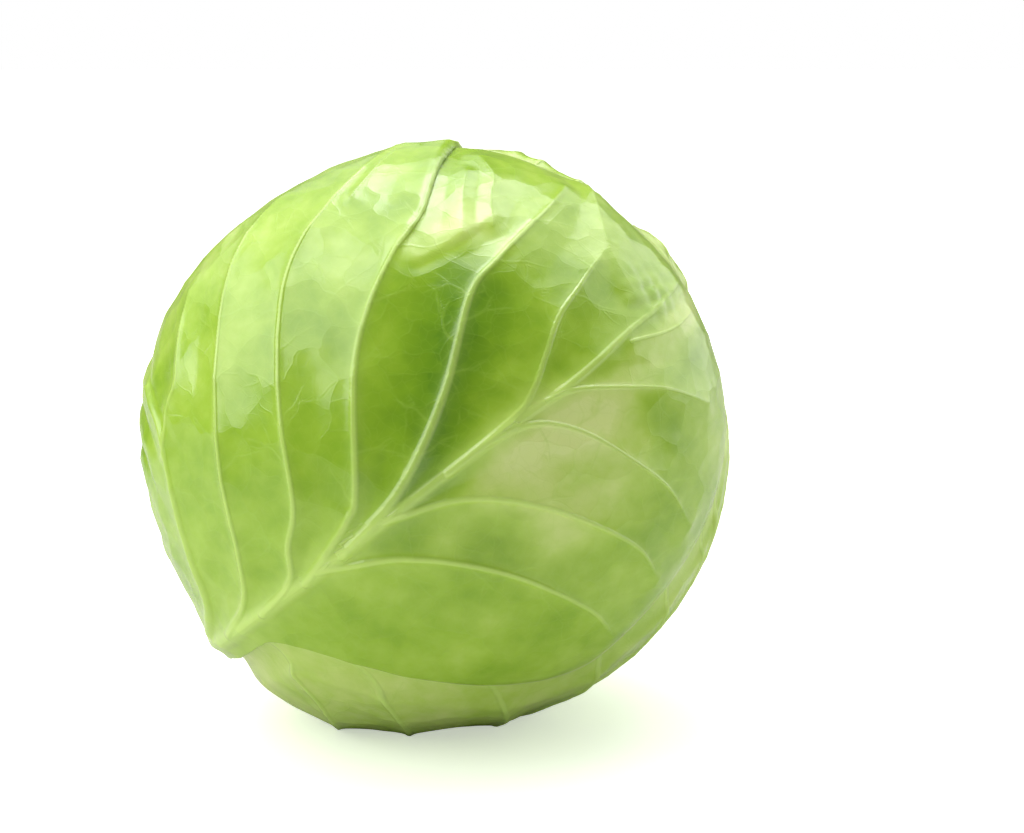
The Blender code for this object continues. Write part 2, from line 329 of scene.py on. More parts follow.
@dataclass(frozen=True)
class HeadForm:
    """The head's own shape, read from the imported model."""

    centre: np.ndarray
    stem: np.ndarray
    radius: float
    foot_drop: float

    # Soft swellings and dips: direction, share of the radius, width in degrees
    SWELLINGS = (
        ((-0.50, 0.16, 0.85), -0.036, 22.0),
        ((-0.93, 0.07, 0.36), 0.004, 10.0),
        ((-0.96, -0.05, -0.26), -0.016, 13.0),
        ((-0.42, -0.20, -0.88), 0.050, 20.0),
        ((0.50, 0.17, 0.85), -0.020, 9.0),
        ((0.94, 0.07, 0.33), -0.014, 9.0),
        ((0.82, 0.11, 0.56), 0.008, 8.0),
        ((0.30, 0.95, 0.10), -0.020, 40.0),
        ((-0.30, 0.60, 0.74), -0.012, 16.0),
        ((0.75, 0.62, -0.20), -0.014, 18.0),
        ((-0.60, 0.78, -0.10), 0.010, 16.0),
    )

    @staticmethod
    def from_frame() -> "HeadForm":
        """Read the head's centre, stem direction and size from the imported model."""
        bud_low, bud_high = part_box("heart_bud")
        centre = np.array((bud_low + bud_high) / 2.0)
        core = read_points(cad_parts["stem_core"].data) - centre
        along = core @ core.mean(axis=0)
        stem = core[along > 0.9 * along.max()].mean(axis=0)
        corners = np.array([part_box(name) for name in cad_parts])
        low, high = corners[:, 0].min(axis=0), corners[:, 1].max(axis=0)
        return HeadForm(centre, stem / np.linalg.norm(stem), (high[0] - low[0]) / 2.0,
                        centre[2] - low[2])

    def axes(self, azimuth: float) -> tuple[np.ndarray, np.ndarray, np.ndarray]:
        """Give a leaf's middle direction, and those across it and towards its tip."""
        front = np.array((0.0, -1.0, 0.0))
        facing = front - self.stem * (front @ self.stem)
        facing /= np.linalg.norm(facing)
        across = np.cross(facing, self.stem)
        turn = math.radians(azimuth)
        middle = facing * math.cos(turn) + across * math.sin(turn)
        sideways = across * math.cos(turn) - facing * math.sin(turn)
        return middle, sideways, -self.stem

    def directions(self, plan: LeafPlan, across: np.ndarray, along: np.ndarray) -> np.ndarray:
        """Turn places on a leaf, in degrees, into directions from the head's centre."""
        middle, sideways, upward = self.axes(plan.azimuth)
        shifted = across + plan.bow_at(along)
        turn = np.maximum(np.hypot(shifted, along), 1e-6)
        lean = (np.multiply.outer(shifted / turn, sideways)
                + np.multiply.outer(along / turn, upward))
        angle = np.radians(turn)[..., None]
        return middle * np.cos(angle) + lean * np.sin(angle)

    def place_on(self, plan: LeafPlan, directions: np.ndarray) -> tuple[np.ndarray, np.ndarray]:
        """Turn directions into places on a leaf, in degrees."""
        middle, sideways, upward = self.axes(plan.azimuth)
        turn = np.arccos(np.clip(directions @ middle, -1.0, 1.0))
        scale = np.degrees(turn) / np.maximum(np.sin(turn), 1e-6)
        along = directions @ upward * scale
        return directions @ sideways * scale - plan.bow_at(along), along

    def outside(self, plan: LeafPlan, directions: np.ndarray) -> np.ndarray:
        """Say how many degrees directions lie outside a leaf's outline."""
        across, along = self.place_on(plan, directions)
        result = np.empty(across.shape)
        for side, chosen in ((plan.left, across < 0.0), (plan.right, across >= 0.0)):
            x, y = np.abs(across[chosen]), along[chosen]
            width = side.width(y)
            slope = side.width(y + 1.0) - width
            below = np.maximum((x - width) / np.hypot(1.0, slope), LEAF_FOOT - y)
            ratio = (x / side.reach) ** ROUNDNESS + (np.maximum(y, 0.0) / plan.tip) ** ROUNDNESS
            ratio = np.maximum(ratio, 1e-6) ** (1.0 / ROUNDNESS)
            above = np.hypot(x, y) * (1.0 - 1.0 / ratio)
            result[chosen] = np.where(y < 0.0, below, above)
        return result

    def skin(self, directions: np.ndarray) -> np.ndarray:
        """Give the head's radius in each direction, before its flat foot."""
        share = np.ones(directions.shape[:-1])
        for centre, amount, width in self.SWELLINGS:
            middle = np.array(centre) / np.linalg.norm(centre)
            angle = np.degrees(np.arccos(np.clip(directions @ middle, -1.0, 1.0)))
            share += amount * np.exp(-(angle / width) ** 2)
        return self.radius * share + self.lobes(directions)

    def lobes(self, directions: np.ndarray) -> np.ndarray:
        """Give the low lobes, one after another, that run up the left side from the stem."""
        middle, sideways, _ = self.axes(0.0)
        polar = np.degrees(np.arccos(np.clip(directions @ self.stem, -1.0, 1.0)))
        turn = np.degrees(np.arctan2(directions @ sideways, directions @ middle))
        lobe = np.abs(np.sin(math.pi * polar / LOBE_LENGTH)) - 0.6
        lobe *= smooth((polar - 11.0) / 6.0) * smooth((66.0 - polar) / 12.0)
        return LOBE_HEIGHT * MM * lobe * np.exp(-((turn - LOBE_SIDE) / LOBE_SPREAD) ** 2)

    def floor_limit(self, directions: np.ndarray) -> np.ndarray:
        """Say how far each direction runs before it meets the floor."""
        down = np.maximum(-directions[..., 2], 1e-4)
        return np.where(directions[..., 2] < -1e-3, self.foot_drop / down, 1.0)


@dataclass(frozen=True)
class Rib:
    """A rib's route over its leaf, in degrees, and its size at each end, in millimetres."""

    route: tuple[tuple[float, float], ...]
    half_width: tuple[float, float]
    height: tuple[float, float]
    ink: float = 1.0


FRONT_SIDE_RIBS = (
    Rib(((-3, -66), (-10, -53), (-24, -45), (-34, -40), (-43, -37), (-57, -40)), (2.6, 0.9),
        (1.0, 0.4), 0.9),
    Rib(((-38, -39), (-45, -31), (-49, -25), (-56, -21), (-67, -14)), (1.1, 0.6), (0.4, 0.3), 0.8),
    Rib(((-1, -54), (-4, -41), (-12, -33), (-27, -24), (-46, -11), (-65, 3), (-76, 18)),
        (1.3, 0.5), (0.6, 0.3)),
    Rib(((0, -38), (-2, -27), (-7, -22), (-13, -15), (-29, -5), (-50, 11), (-61, 27), (-69, 40),
         (-76, 54)), (1.2, 0.5), (0.6, 0.3)),
    Rib(((0, -24), (-4, -10), (-8, -4), (-27, 12), (-40, 29), (-47, 41), (-57, 52), (-67, 64)),
        (1.3, 0.6), (0.8, 0.5)),
    Rib(((0, -14), (-3, 2), (-12, 19), (-25, 35), (-28, 44), (-31, 56), (-38, 75)), (1.5, 0.6),
        (0.9, 0.4)),
    Rib(((0, 10), (-1, 24), (-3, 30), (-11, 43), (-14, 53), (-19, 68)), (1.2, 0.5), (0.7, 0.3)),
    Rib(((0, 31), (2, 37), (10, 46), (17, 52), (28, 58)), (0.8, 0.4), (0.4, 0.2), 0.9),
    Rib(((0, 18), (2, 26), (8, 31), (18, 34), (32, 36), (46, 34)), (1.0, 0.4), (0.5, 0.2)),
    Rib(((0, -20), (8, -6), (22, 4), (40, 8), (54, 6)), (1.3, 0.6), (0.6, 0.3)),
    Rib(((0, -4), (6, 9), (18, 18), (36, 23), (50, 21)), (1.2, 0.5), (0.5, 0.3)),
    Rib(((-44, 92), (-20, 68), (-5, 61)), (0.7, 0.5), (0.4, 0.3), 0.25),
    Rib(((-37, 43), (-45, 50), (-52, 57)), (0.5, 0.3), (0.3, 0.2), 0.15),
    Rib(((-35, 49), (-42, 55), (-48, 61), (-57, 65)), (0.5, 0.3), (0.3, 0.2), 0.2),
    Rib(((-60, 32), (-67, 43), (-72, 52)), (0.5, 0.3), (0.3, 0.2), 0.4),
    Rib(((2, 52), (6, 62), (8, 74)), (0.6, 0.3), (0.3, 0.1), 0.6),
)
FOOT_SIDE_RIBS = (
    Rib(((0, -66), (-16, -58), (-35, -55), (-48, -56), (-52, -58), (-54, -62)), (1.3, 0.7),
        (0.6, 0.4)),
    Rib(((0, -50), (-20, -43), (-40, -39), (-51, -39), (-57, -42), (-60, -48), (-62, -56)),
        (1.3, 0.7), (0.6, 0.4)),
    Rib(((0, -34), (-18, -24), (-40, -18), (-62, -18), (-80, -24)), (1.2, 0.6), (0.6, 0.3)),
    Rib(((0, -18), (-18, -2), (-40, 8), (-62, 10), (-84, 6)), (1.2, 0.5), (0.6, 0.3)),
    Rib(((0, 0), (-14, 17), (-34, 30), (-56, 36), (-74, 36)), (1.1, 0.5), (0.5, 0.3)),
    Rib(((0, 18), (-10, 34), (-26, 48), (-44, 57), (-58, 60)), (1.0, 0.5), (0.5, 0.2)),
)
DARK_AND_SHADED_SIDE_RIB = FRONT_SIDE_RIBS[5]    # the one that the darkest green lies beside: partly deeper green, partly painted shade
MIDRIB_TAPER = (3.4, 0.5)     # half width in millimetres, at the foot and at the tip
MIDRIB_HEIGHT = (1.2, 0.25)   # millimetres


class RibDrawing:
    """Works out where a leaf's ribs run, and draws them as lines on its skin."""

    def __init__(self, head: HeadForm, plan: LeafPlan,
                 radius_at: Callable[[np.ndarray], np.ndarray]) -> None:
        """Keep the leaf's plan and the function that gives the skin's radius."""
        self.head = head
        self.plan = plan
        self.radius_at = radius_at
        self.chance = np.random.default_rng(plan.seed)

    def midrib(self) -> list[Rib]:
        """Give the midrib, thick at the foot and gone before the tip."""
        top = self.plan.tip - 12.0
        route = ((0.0, LEAF_FOOT - 4.0), (0.0, -40.0), (0.0, 0.0), (0.0, 0.5 * top), (0.0, top))
        return [Rib(route, MIDRIB_TAPER, MIDRIB_HEIGHT)]

    def side_ribs(self) -> list[Rib]:
        """Give the side ribs, as listed or by rule.

        Returns:
            The ribs, each from the midrib outwards.
        """
        if self.plan.rib_plan is RibPlan.FRONT:
            return list(FRONT_SIDE_RIBS)
        ribs = list(FOOT_SIDE_RIBS) if self.plan.rib_plan is RibPlan.FOOT else []
        for sign, side in ((-1.0, self.plan.left), (1.0, self.plan.right)):
            if sign < 0.0 and ribs:
                continue
            start = -56.0 + self.chance.uniform(0.0, 6.0)
            while start < self.plan.tip - 34.0:
                height = (start + 56.0) / (self.plan.tip + 22.0)
                slope = 0.55 + 1.9 * height ** 1.5 + self.chance.uniform(-0.08, 0.08)
                reach = 0.97 * side.reach * (1.0 - 0.55 * height)
                bend = self.chance.uniform(-0.06, 0.10)
                route = [(sign * reach * t, start + slope * reach * t * (0.86 + (0.18 + bend) * t))
                         for t in (0.0, 0.15, 0.35, 0.6, 0.8, 1.0)]
                size = 1.0 - 0.45 * height
                ribs.append(Rib(tuple(route), (1.6 * size, 0.6), (0.8 * size, 0.3)))
                start += self.chance.uniform(12.0, 17.0)
        return ribs

    def branch_ribs(self, parents: list[Rib]) -> list[Rib]:
        """Give the small ribs that leave the side ribs on both sides and fork once.

        Args:
            parents: The side ribs.

        Returns:
            The small ribs and their forks.
        """
        twigs = []
        for parent in parents:
            line = curve_through(list(parent.route))
            length = np.hypot(*np.diff(line, axis=0).T)
            travelled = np.concatenate([[0.0], np.cumsum(length)])
            spot = 7.0 + self.chance.uniform(0.0, 3.0)
            sign = self.chance.choice((-1.0, 1.0))
            while spot < travelled[-1] - 3.0:
                index = int(np.searchsorted(travelled, spot))
                here = line[index]
                heading = line[min(index + 1, len(line) - 1)] - line[index - 1]
                angle = math.atan2(heading[1], heading[0]) + sign * self.chance.uniform(0.75, 1.15)
                twigs.extend(self.twig(here, angle, sign, self.chance.uniform(7.0, 12.0)))
                spot += self.chance.uniform(5.0, 10.0)
                sign = -sign
        return twigs

    def twig(self, start: np.ndarray, angle: float, sign: float, length: float) -> list[Rib]:
        """Give one small rib that wanders and forks near its end.

        Args:
            start: Where it leaves its parent, in degrees on the leaf.
            angle: Its heading there, in radians.
            sign: The side of the parent that it leaves on, -1 or 1.
            length: Its length, in degrees.

        Returns:
            The small rib and its fork.
        """
        points = [start]
        for _ in range(4):
            angle += self.chance.uniform(-0.45, 0.45) - 0.10 * sign
            points.append(points[-1] + 0.25 * length * np.array((math.cos(angle), math.sin(angle))))
        fork = [points[2]]
        turned = angle + sign * self.chance.uniform(0.7, 1.2)
        for _ in range(3):
            turned += self.chance.uniform(-0.3, 0.3)
            fork.append(fork[-1] + 0.2 * length * np.array((math.cos(turned), math.sin(turned))))
        return [Rib(tuple(map(tuple, points)), (0.5, 0.3), (0.2, 0.1), 0.9),
                Rib(tuple(map(tuple, fork)), (0.42, 0.3), (0.2, 0.1), 0.7)]

    def line_object(self, name: str, ribs: list[Rib]) -> bpy.types.Object:
        """Draw ribs as loose edges on the leaf's skin, with their sizes as attributes.

        Args:
            name: The line object's name.
            ribs: The ribs to draw.

        Returns:
            An object of loose edges, with a size and a sideways direction at each point.
        """
        points, edges, sizes, sides = [], [], [], []
        for rib in ribs:
            line = curve_through(list(rib.route))
            directions = self.head.directions(self.plan, line[:, 0], line[:, 1])
            places = self.head.centre + directions * self.radius_at(directions)[:, None]
            first = sum(len(group) for group in points)
            edges.extend((first + i, first + i + 1) for i in range(len(line) - 1))
            points.append(places)
            sideways = np.cross(np.gradient(places, axis=0), directions)
            sides.append(sideways / np.maximum(np.linalg.norm(sideways, axis=1), 1e-9)[:, None])
            share = np.linspace(0.0, 1.0, len(line))
            taper = share ** 0.8
            sizes.append(np.column_stack([
                MM * (rib.half_width[0] + (rib.half_width[1] - rib.half_width[0]) * taper),
                MM * (rib.height[0] + (rib.height[1] - rib.height[0]) * taper),
                rib.ink * (1.0 - 0.35 * share) * smooth((1.0 - share) * 5.0)]))
        mesh = bpy.data.meshes.new(name)
        mesh.from_pydata(np.vstack(points).tolist(), edges, [])
        for label, rows in (("size", sizes), ("sideways", sides)):
            write_vector(mesh, label, np.vstack(rows))
        return bpy.data.objects.new(name, mesh)


def net_place(tree: bpy.types.NodeTree, place: bpy.types.NodeSocket) -> bpy.types.NodeSocket:
    """Bend a leaf's flat coordinates a little, so that the vein net isn't straight.

    Args:
        tree: The node tree to add to.
        place: The flat coordinates, in metres.

    Returns:
        The bent coordinates.
    """
    wander = add_node(tree, "ShaderNodeTexNoise", {"noise_dimensions": "2D"},
                      {"Vector": place, "Scale": 1.0 / (9.0 * MM), "Detail": 1.0})
    bent = add_node(tree, "ShaderNodeVectorMath", {"operation": "MULTIPLY_ADD"},
                    {0: wander.outputs["Color"], 1: (5.0 * MM,) * 3, 2: place})
    return bent.outputs[0]


class GeometryTree:
    """A Geometry Nodes tree with named inputs, which turns a sheet into a plain mesh.

    The first input and the only output are the sheet's geometry.
    """

    NAME = "geometry_tree"
    INPUTS: tuple[tuple[str, str], ...] = (("Sheet", "NodeSocketGeometry"),)

    def __init__(self) -> None:
        """Make the inputs and the output, and link what lies between them."""
        self.tree = bpy.data.node_groups.new(self.NAME, "GeometryNodeTree")
        self.math_node = NodeKit(self.tree).math_node
        face = self.tree.interface
        self.sockets = {name: face.new_socket(
            name=name, in_out="INPUT", socket_type=kind).identifier for name, kind in self.INPUTS}
        sheet_name, sheet_kind = self.INPUTS[0]
        face.new_socket(name=sheet_name, in_out="OUTPUT", socket_type=sheet_kind)
        self.build()

    def build(self) -> None:
        """Link the tree. The plain tree has nothing in it."""

    def finish(self, shape: bpy.types.NodeSocket, skin: bpy.types.NodeSocket) -> None:
        """Make a shape real, give it its material and pass it out.

        Args:
            shape: The shape.
            skin: The material.
        """
        real = add_node(self.tree, "GeometryNodeRealizeInstances", None, {0: shape})
        dressed = add_node(self.tree, "GeometryNodeSetMaterial", None,
                           {"Geometry": real.outputs[0], "Material": skin})
        end = add_node(self.tree, "NodeGroupOutput")
        self.tree.links.new(dressed.outputs[0], end.inputs[0])

    def apply(self, sheet: bpy.types.Object, values: dict) -> bpy.types.Mesh:
        """Run the tree on a sheet.

        Args:
            sheet: The object that the tree works on.
            values: The tree's inputs by name.

        Returns:
            The result, as a plain mesh.
        """
        modifier = sheet.modifiers.new(self.NAME, "NODES")
        modifier.node_group = self.tree
        for name, value in values.items():
            modifier[self.sockets[name]] = value
        graph = bpy.context.evaluated_depsgraph_get()
        mesh = bpy.data.meshes.new_from_object(sheet.evaluated_get(graph))
        sheet.modifiers.remove(modifier)
        return mesh


class ReliefTree(GeometryTree):
    """The Geometry Nodes tree that raises a leaf's ribs and creases its blade."""

    NAME = "leaf_relief"
    INPUTS = (("Blade", "NodeSocketGeometry"), ("Midrib", "NodeSocketObject"),
              ("Side Ribs", "NodeSocketObject"), ("Twigs", "NodeSocketObject"),
              ("Crease Rise", "NodeSocketFloat"), ("Crease Reach", "NodeSocketFloat"),
              ("Facet Size", "NodeSocketFloat"), ("Facet Share", "NodeSocketFloat"),
              ("Head Radius", "NodeSocketFloat"), ("Pucker", "NodeSocketFloat"),
              ("Pucker Size", "NodeSocketFloat"), ("Skin", "NodeSocketMaterial"))

    def rib_field(self, lines: bpy.types.NodeSocket, place: bpy.types.NodeSocket) -> tuple:
        """Measure how far the blade's points are from a set of ribs.

        Args:
            lines: The ribs' line object.
            place: The blade's own positions.

        Returns:
            The distance in metres, the ridge's height in metres, and a vector of the signed
            and unsigned distance in half widths and of the rib's strength.
        """
        tree = self.tree
        shape = add_node(tree, "GeometryNodeObjectInfo", None,
                         {"Object": lines}).outputs["Geometry"]
        near = add_node(tree, "GeometryNodeProximity", {"target_element": "EDGES"}, {0: shape})
        nearest = add_node(tree, "GeometryNodeSampleNearest", {"domain": "POINT"}, {0: shape})

        def sample(value: bpy.types.NodeSocket) -> bpy.types.NodeSocket:
            """Read a value at the rib's nearest point."""
            node = add_node(tree, "GeometryNodeSampleIndex",
                            {"data_type": "FLOAT_VECTOR", "domain": "POINT"},
                            {"Geometry": shape, "Index": nearest.outputs["Index"]})
            tree.links.new(value, node.inputs[1])
            return node.outputs[0]

        def named(label: str) -> bpy.types.NodeSocket:
            """Give one of the rib's own attributes."""
            return add_node(tree, "GeometryNodeInputNamedAttribute",
                            {"data_type": "FLOAT_VECTOR"}, {"Name": label}).outputs[0]

        size = add_node(tree, "ShaderNodeSeparateXYZ", None, {0: sample(named("size"))})
        start = sample(add_node(tree, "GeometryNodeInputPosition").outputs[0])
        gap = add_node(tree, "ShaderNodeVectorMath", {"operation": "SUBTRACT"},
                       {0: place, 1: start}).outputs[0]
        aside = add_node(tree, "ShaderNodeVectorMath", {"operation": "DOT_PRODUCT"},
                         {0: gap, 1: sample(named("sideways"))}).outputs["Value"]
        distance = near.outputs["Distance"]
        signed = self.math_node("DIVIDE", aside, size.outputs[0])
        signed = self.math_node("MINIMUM", self.math_node("MAXIMUM", signed, -8.0), 8.0)
        share = self.math_node("DIVIDE", distance, size.outputs[0])
        bell = self.math_node("EXPONENT", self.math_node(
            "MULTIPLY", self.math_node("MULTIPLY", share, share), -1.0))
        ridge = self.math_node("MULTIPLY", bell, size.outputs[1])
        marks = add_node(tree, "ShaderNodeCombineXYZ", None,
                         {0: signed, 1: self.math_node("MINIMUM", share, 8.0),
                          2: size.outputs[2]})
        return distance, ridge, marks.outputs[0]

    def build(self) -> None:
        """Link the whole tree."""
        tree = self.tree
        given = add_node(tree, "NodeGroupInput").outputs
        where = add_node(tree, "GeometryNodeInputPosition").outputs[0]
        mid_gap, mid_ridge, mid_marks = self.rib_field(given["Midrib"], where)
        side_gap, side_ridge, side_marks = self.rib_field(given["Side Ribs"], where)
        _, _, twig_marks = self.rib_field(given["Twigs"], where)
        ridge = self.math_node("SMOOTH_MAX", mid_ridge, side_ridge, 0.3 * MM)
        nearest = self.math_node("SMOOTH_MIN", mid_gap, side_gap, 3.0 * MM)
        left = self.math_node("MAXIMUM", self.math_node(
            "SUBTRACT", 1.0, self.math_node("DIVIDE", nearest, given["Crease Reach"])), 0.0)
        crease = self.math_node("MULTIPLY", self.math_node("MULTIPLY", left, left),
                                given["Crease Rise"])
        flat_place = add_node(tree, "GeometryNodeInputNamedAttribute",
                              {"data_type": "FLOAT_VECTOR"}, {"Name": "place"}).outputs[0]
        cells = add_node(tree, "ShaderNodeTexVoronoi", {"voronoi_dimensions": "2D"},
                         {"Vector": net_place(tree, flat_place),
                          "Scale": self.math_node("DIVIDE", 1.0, given["Facet Size"])})
        off = self.math_node("MULTIPLY", cells.outputs["Distance"], given["Facet Size"])
        off = self.math_node("MULTIPLY", self.math_node("MULTIPLY", off, off),
                             given["Facet Share"])
        facet = self.math_node("DIVIDE", off, given["Head Radius"])
        noise = add_node(tree, "ShaderNodeTexNoise", None,
                         {"Vector": where, "Scale": self.math_node(
                             "DIVIDE", 1.0, given["Pucker Size"]), "Detail": 1.5,
                          "Roughness": 0.4})
        pucker = self.math_node("MULTIPLY", self.math_node("SUBTRACT", noise.outputs[0], 0.5),
                                given["Pucker"])
        free = add_node(tree, "GeometryNodeInputNamedAttribute", {"data_type": "FLOAT"},
                        {"Name": "free"}).outputs["Attribute"]
        total = self.math_node("ADD", ridge, self.math_node("ADD", crease, pucker))
        total = self.math_node("MULTIPLY", self.math_node("ADD", total, facet), free)
        normal = add_node(tree, "GeometryNodeInputNormal").outputs[0]
        offset = add_node(tree, "ShaderNodeVectorMath", {"operation": "SCALE"},
                          {0: normal, "Scale": total})
        marked = given["Blade"]
        for label, value in (("mid", mid_marks), ("side", side_marks), ("twig", twig_marks)):
            marked = add_node(tree, "GeometryNodeStoreNamedAttribute",
                              {"data_type": "FLOAT_VECTOR", "domain": "POINT"},
                              {"Geometry": marked, "Name": label, "Value": value}).outputs[0]
        raised = add_node(tree, "GeometryNodeSetPosition", None,
                          {"Geometry": marked, "Offset": offset.outputs[0]})
        self.finish(raised.outputs[0], given["Skin"])


@dataclass
class LeafHabit:
    """How a leaf's blade is made, in millimetres and degrees."""

    blade: float = 0.85
    edge: float = 0.30
    edge_taper: float = 6.0
    press_step: float = 1.75
    press_full: float = 2.5
    press_end: float = 10.0
    edge_dip: float = 0.8
    edge_dip_width: float = 7.0
    stalk_height: float = 1.5
    stalk_half_width: float = 11.5
    crease_rise: float = 1.25
    crease_reach: float = 13.0
    facet_size: float = 12.0
    facet_share: float = 0.35
    pucker: float = 0.45
    pucker_size: float = 17.0
    wave: float = 0.016


class LeafBlade:
    """One wrapper leaf: a thin blade with ribs, pressed in by the leaves outside it."""

    def __init__(self, head: HeadForm, plan: LeafPlan, outer: list[LeafPlan],
                 habit: LeafHabit) -> None:
        """Keep the leaf's plan and those of the leaves outside it."""
        self.head = head
        self.plan = plan
        self.outer = outer
        self.habit = habit
        self.chance = np.random.default_rng(plan.seed + 500)
        self.count = plan.cells + 1

    def pressed(self, directions: np.ndarray) -> np.ndarray:
        """Say how far the outer leaves press this one in, in metres."""
        habit = self.habit
        depth = np.zeros(directions.shape[:-1])
        for plan in self.outer:
            gap = self.head.outside(plan, directions)
            fade = (gap - habit.press_full) / (habit.press_end - habit.press_full)
            depth += habit.press_step * MM * (1.0 - smooth(fade))
        return depth

    def radius_at(self, directions: np.ndarray) -> np.ndarray:
        """Give the bare skin's radius in each direction."""
        limit = self.head.floor_limit(directions)
        return np.minimum(self.head.skin(directions), limit) - self.pressed(directions)

    def outline_grid(self) -> tuple[np.ndarray, np.ndarray, np.ndarray, np.ndarray]:
        """Lay a square grid into the leaf's outline.

        Returns:
            The places across and along the leaf, in degrees, and the grid's own two
            coordinates, from -1 to 1.
        """
        line = np.linspace(-1.0, 1.0, self.count)
        u, v = np.meshgrid(line, line)
        across, along = np.zeros(u.shape), np.zeros(u.shape)
        start = LEAF_FOOT - STEM_POLE
        for side, chosen in ((self.plan.left, u < 0.0), (self.plan.right, u >= 0.0)):
            a, b = u[chosen], v[chosen]
            wrap = np.minimum(1.0, np.abs(a) * side.reach * side.foot_share / (FOOT_WRAP * start))
            foot = STEM_POLE + start * np.sqrt(1.0 - wrap * wrap)
            low_x = a * side.width(-LEAF_FOOT * b)
            norm = np.maximum((np.abs(a) ** ROUNDNESS + np.abs(b) ** ROUNDNESS), 1e-9)
            pull = np.maximum(np.abs(a), np.abs(b)) / norm ** (1.0 / ROUNDNESS)
            across[chosen] = np.where(b < 0.0, low_x, a * pull * side.reach)
            along[chosen] = np.where(b < 0.0, -foot * b, b * pull * self.plan.tip)
        inward = np.maximum(np.abs(u), np.abs(v))
        around = np.arctan2(v, u)
        wave = sum(self.chance.uniform(0.4, 1.0) / k
                   * np.sin(k * around + self.chance.uniform(0.0, 6.3)) for k in EDGE_WAVES)
        stretch = 1.0 + self.habit.wave * wave * inward ** 8 * smooth((along + 62.0) / 30.0)
        return across * stretch, along * stretch, u, v

    def stalk(self, across: np.ndarray, along: np.ndarray) -> np.ndarray:
        """Say how far the fleshy stalk stands out near the leaf's foot.

        Args:
            across: Places across the leaf, in degrees.
            along: Places along it, in degrees.

        Returns:
            The rise at each place, in metres.
        """
        habit = self.habit
        rise = np.maximum(0.0, along - LEAF_FOOT) / LEAF_LENGTH
        height = habit.stalk_height * np.exp(-(rise / 0.15) ** 1.5)
        width = habit.stalk_half_width * (0.30 + 0.70 * np.exp(-rise / 0.17))
        ending = smooth((along - LEAF_FOOT + 1.5) / 7.0) ** 0.6
        return MM * height * ending * np.exp(-(np.abs(across) / width) ** 2.4)

    def extra_relief(self, across: np.ndarray, along: np.ndarray) -> np.ndarray:
        """Add what only this leaf has, in metres. The plain leaf adds nothing."""
        return np.zeros(across.shape)

    def tone_at(self, across: np.ndarray, along: np.ndarray) -> np.ndarray:
        """Say how dark the blade's green is, from 0 pale to 1 dark."""
        deep = np.exp(-((across / 40.0) ** 2 + ((along - 15.0) / 40.0) ** 2))
        tone = self.plan.tone + 0.16 * deep
        return tone - 0.14 * smooth((-along - 52.0) / 28.0)

    def sheet(self) -> tuple[bpy.types.Object, dict]:
        """Make the leaf's open grid on the head.

        Returns:
            The grid as an object, and the values that its points carry, by name.
        """
        across, along, u, v = self.outline_grid()
        directions = self.head.directions(self.plan, across, along)
        depth = self.pressed(directions)
        limit = self.head.floor_limit(directions)
        free = 1.0 - smooth(2.5 * depth / (self.habit.press_step * MM))
        inward = np.maximum(np.abs(u), np.abs(v))
        edge_gap = (1.0 - inward) * EDGE_SPAN
        edge_gap = np.where((inward == -v) | (along < -70.0), EDGE_SPAN, edge_gap)
        dip = self.habit.edge_dip * MM * (1.0 - smooth(edge_gap / self.habit.edge_dip_width))
        skin = np.minimum(self.head.skin(directions), limit) - depth - dip
        raised = skin + (self.stalk(across, along) + self.extra_relief(across, along)) * free
        radius = np.minimum(raised, limit - depth)
        points = self.head.centre + directions * radius[..., None]
        lift = free * smooth(edge_gap / 3.0) * smooth((limit - depth - radius) / (2.0 * MM))
        mesh = bpy.data.meshes.new(self.plan.name + "_sheet")
        mesh.from_pydata(points.reshape(-1, 3).tolist(), [], grid_faces(self.count))
        write_value(mesh, "free", lift.ravel())
        arc = self.head.radius * math.pi / 180.0
        place = np.column_stack([across.ravel() * arc, along.ravel() * arc,
                                 np.full(across.size, 0.37 * self.plan.seed)])
        write_vector(mesh, "place", place)
        habit = self.habit
        thinning = habit.edge + (habit.blade - habit.edge) * edge_gap / habit.edge_taper
        thick = radius - skin + MM * np.where(edge_gap < habit.edge_taper, thinning, habit.blade)
        values = {"across": across, "along": along, "thick": thick, "inward": inward,
                  "tone": self.tone_at(across, along), "edge": 1.0 - smooth(edge_gap / 3.0),
                  "limit": limit - depth}
        return bpy.data.objects.new(self.plan.name + "_sheet", mesh), values

    def build(self, relief: ReliefTree, skin: bpy.types.Material) -> bpy.types.Object:
        """Make the leaf.

        Args:
            relief: The tree that raises the ribs.
            skin: The leaf's material.

        Returns:
            The finished piece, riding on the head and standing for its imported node.
        """
        drawing = RibDrawing(self.head, self.plan, self.radius_at)
        side_ribs = drawing.side_ribs()
        lines = {"Midrib": drawing.line_object(self.plan.name + "_midrib", drawing.midrib()),
                 "Side Ribs": drawing.line_object(self.plan.name + "_side", side_ribs),
                 "Twigs": drawing.line_object(self.plan.name + "_twigs",
                                              drawing.branch_ribs(side_ribs))}
        sheet, values = self.sheet()
        for item in (*lines.values(), sheet):
            bpy.context.scene.collection.objects.link(item)
        raised = relief.apply(sheet, {
            **lines, "Crease Rise": self.habit.crease_rise * MM,
            "Crease Reach": self.habit.crease_reach * MM,
            "Facet Size": self.habit.facet_size * MM, "Facet Share": self.habit.facet_share,
            "Head Radius": self.head.radius, "Pucker": self.habit.pucker * MM,
            "Pucker Size": self.habit.pucker_size * MM, "Skin": skin})
        for item in (*lines.values(), sheet):
            bpy.data.objects.remove(item, do_unlink=True)
        piece = self.close_shell(raised, values, skin)
        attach(piece, "root")
        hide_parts(self.plan.node)
        LOG.info("%s: %d faces", piece.name, len(piece.data.polygons))
        return piece

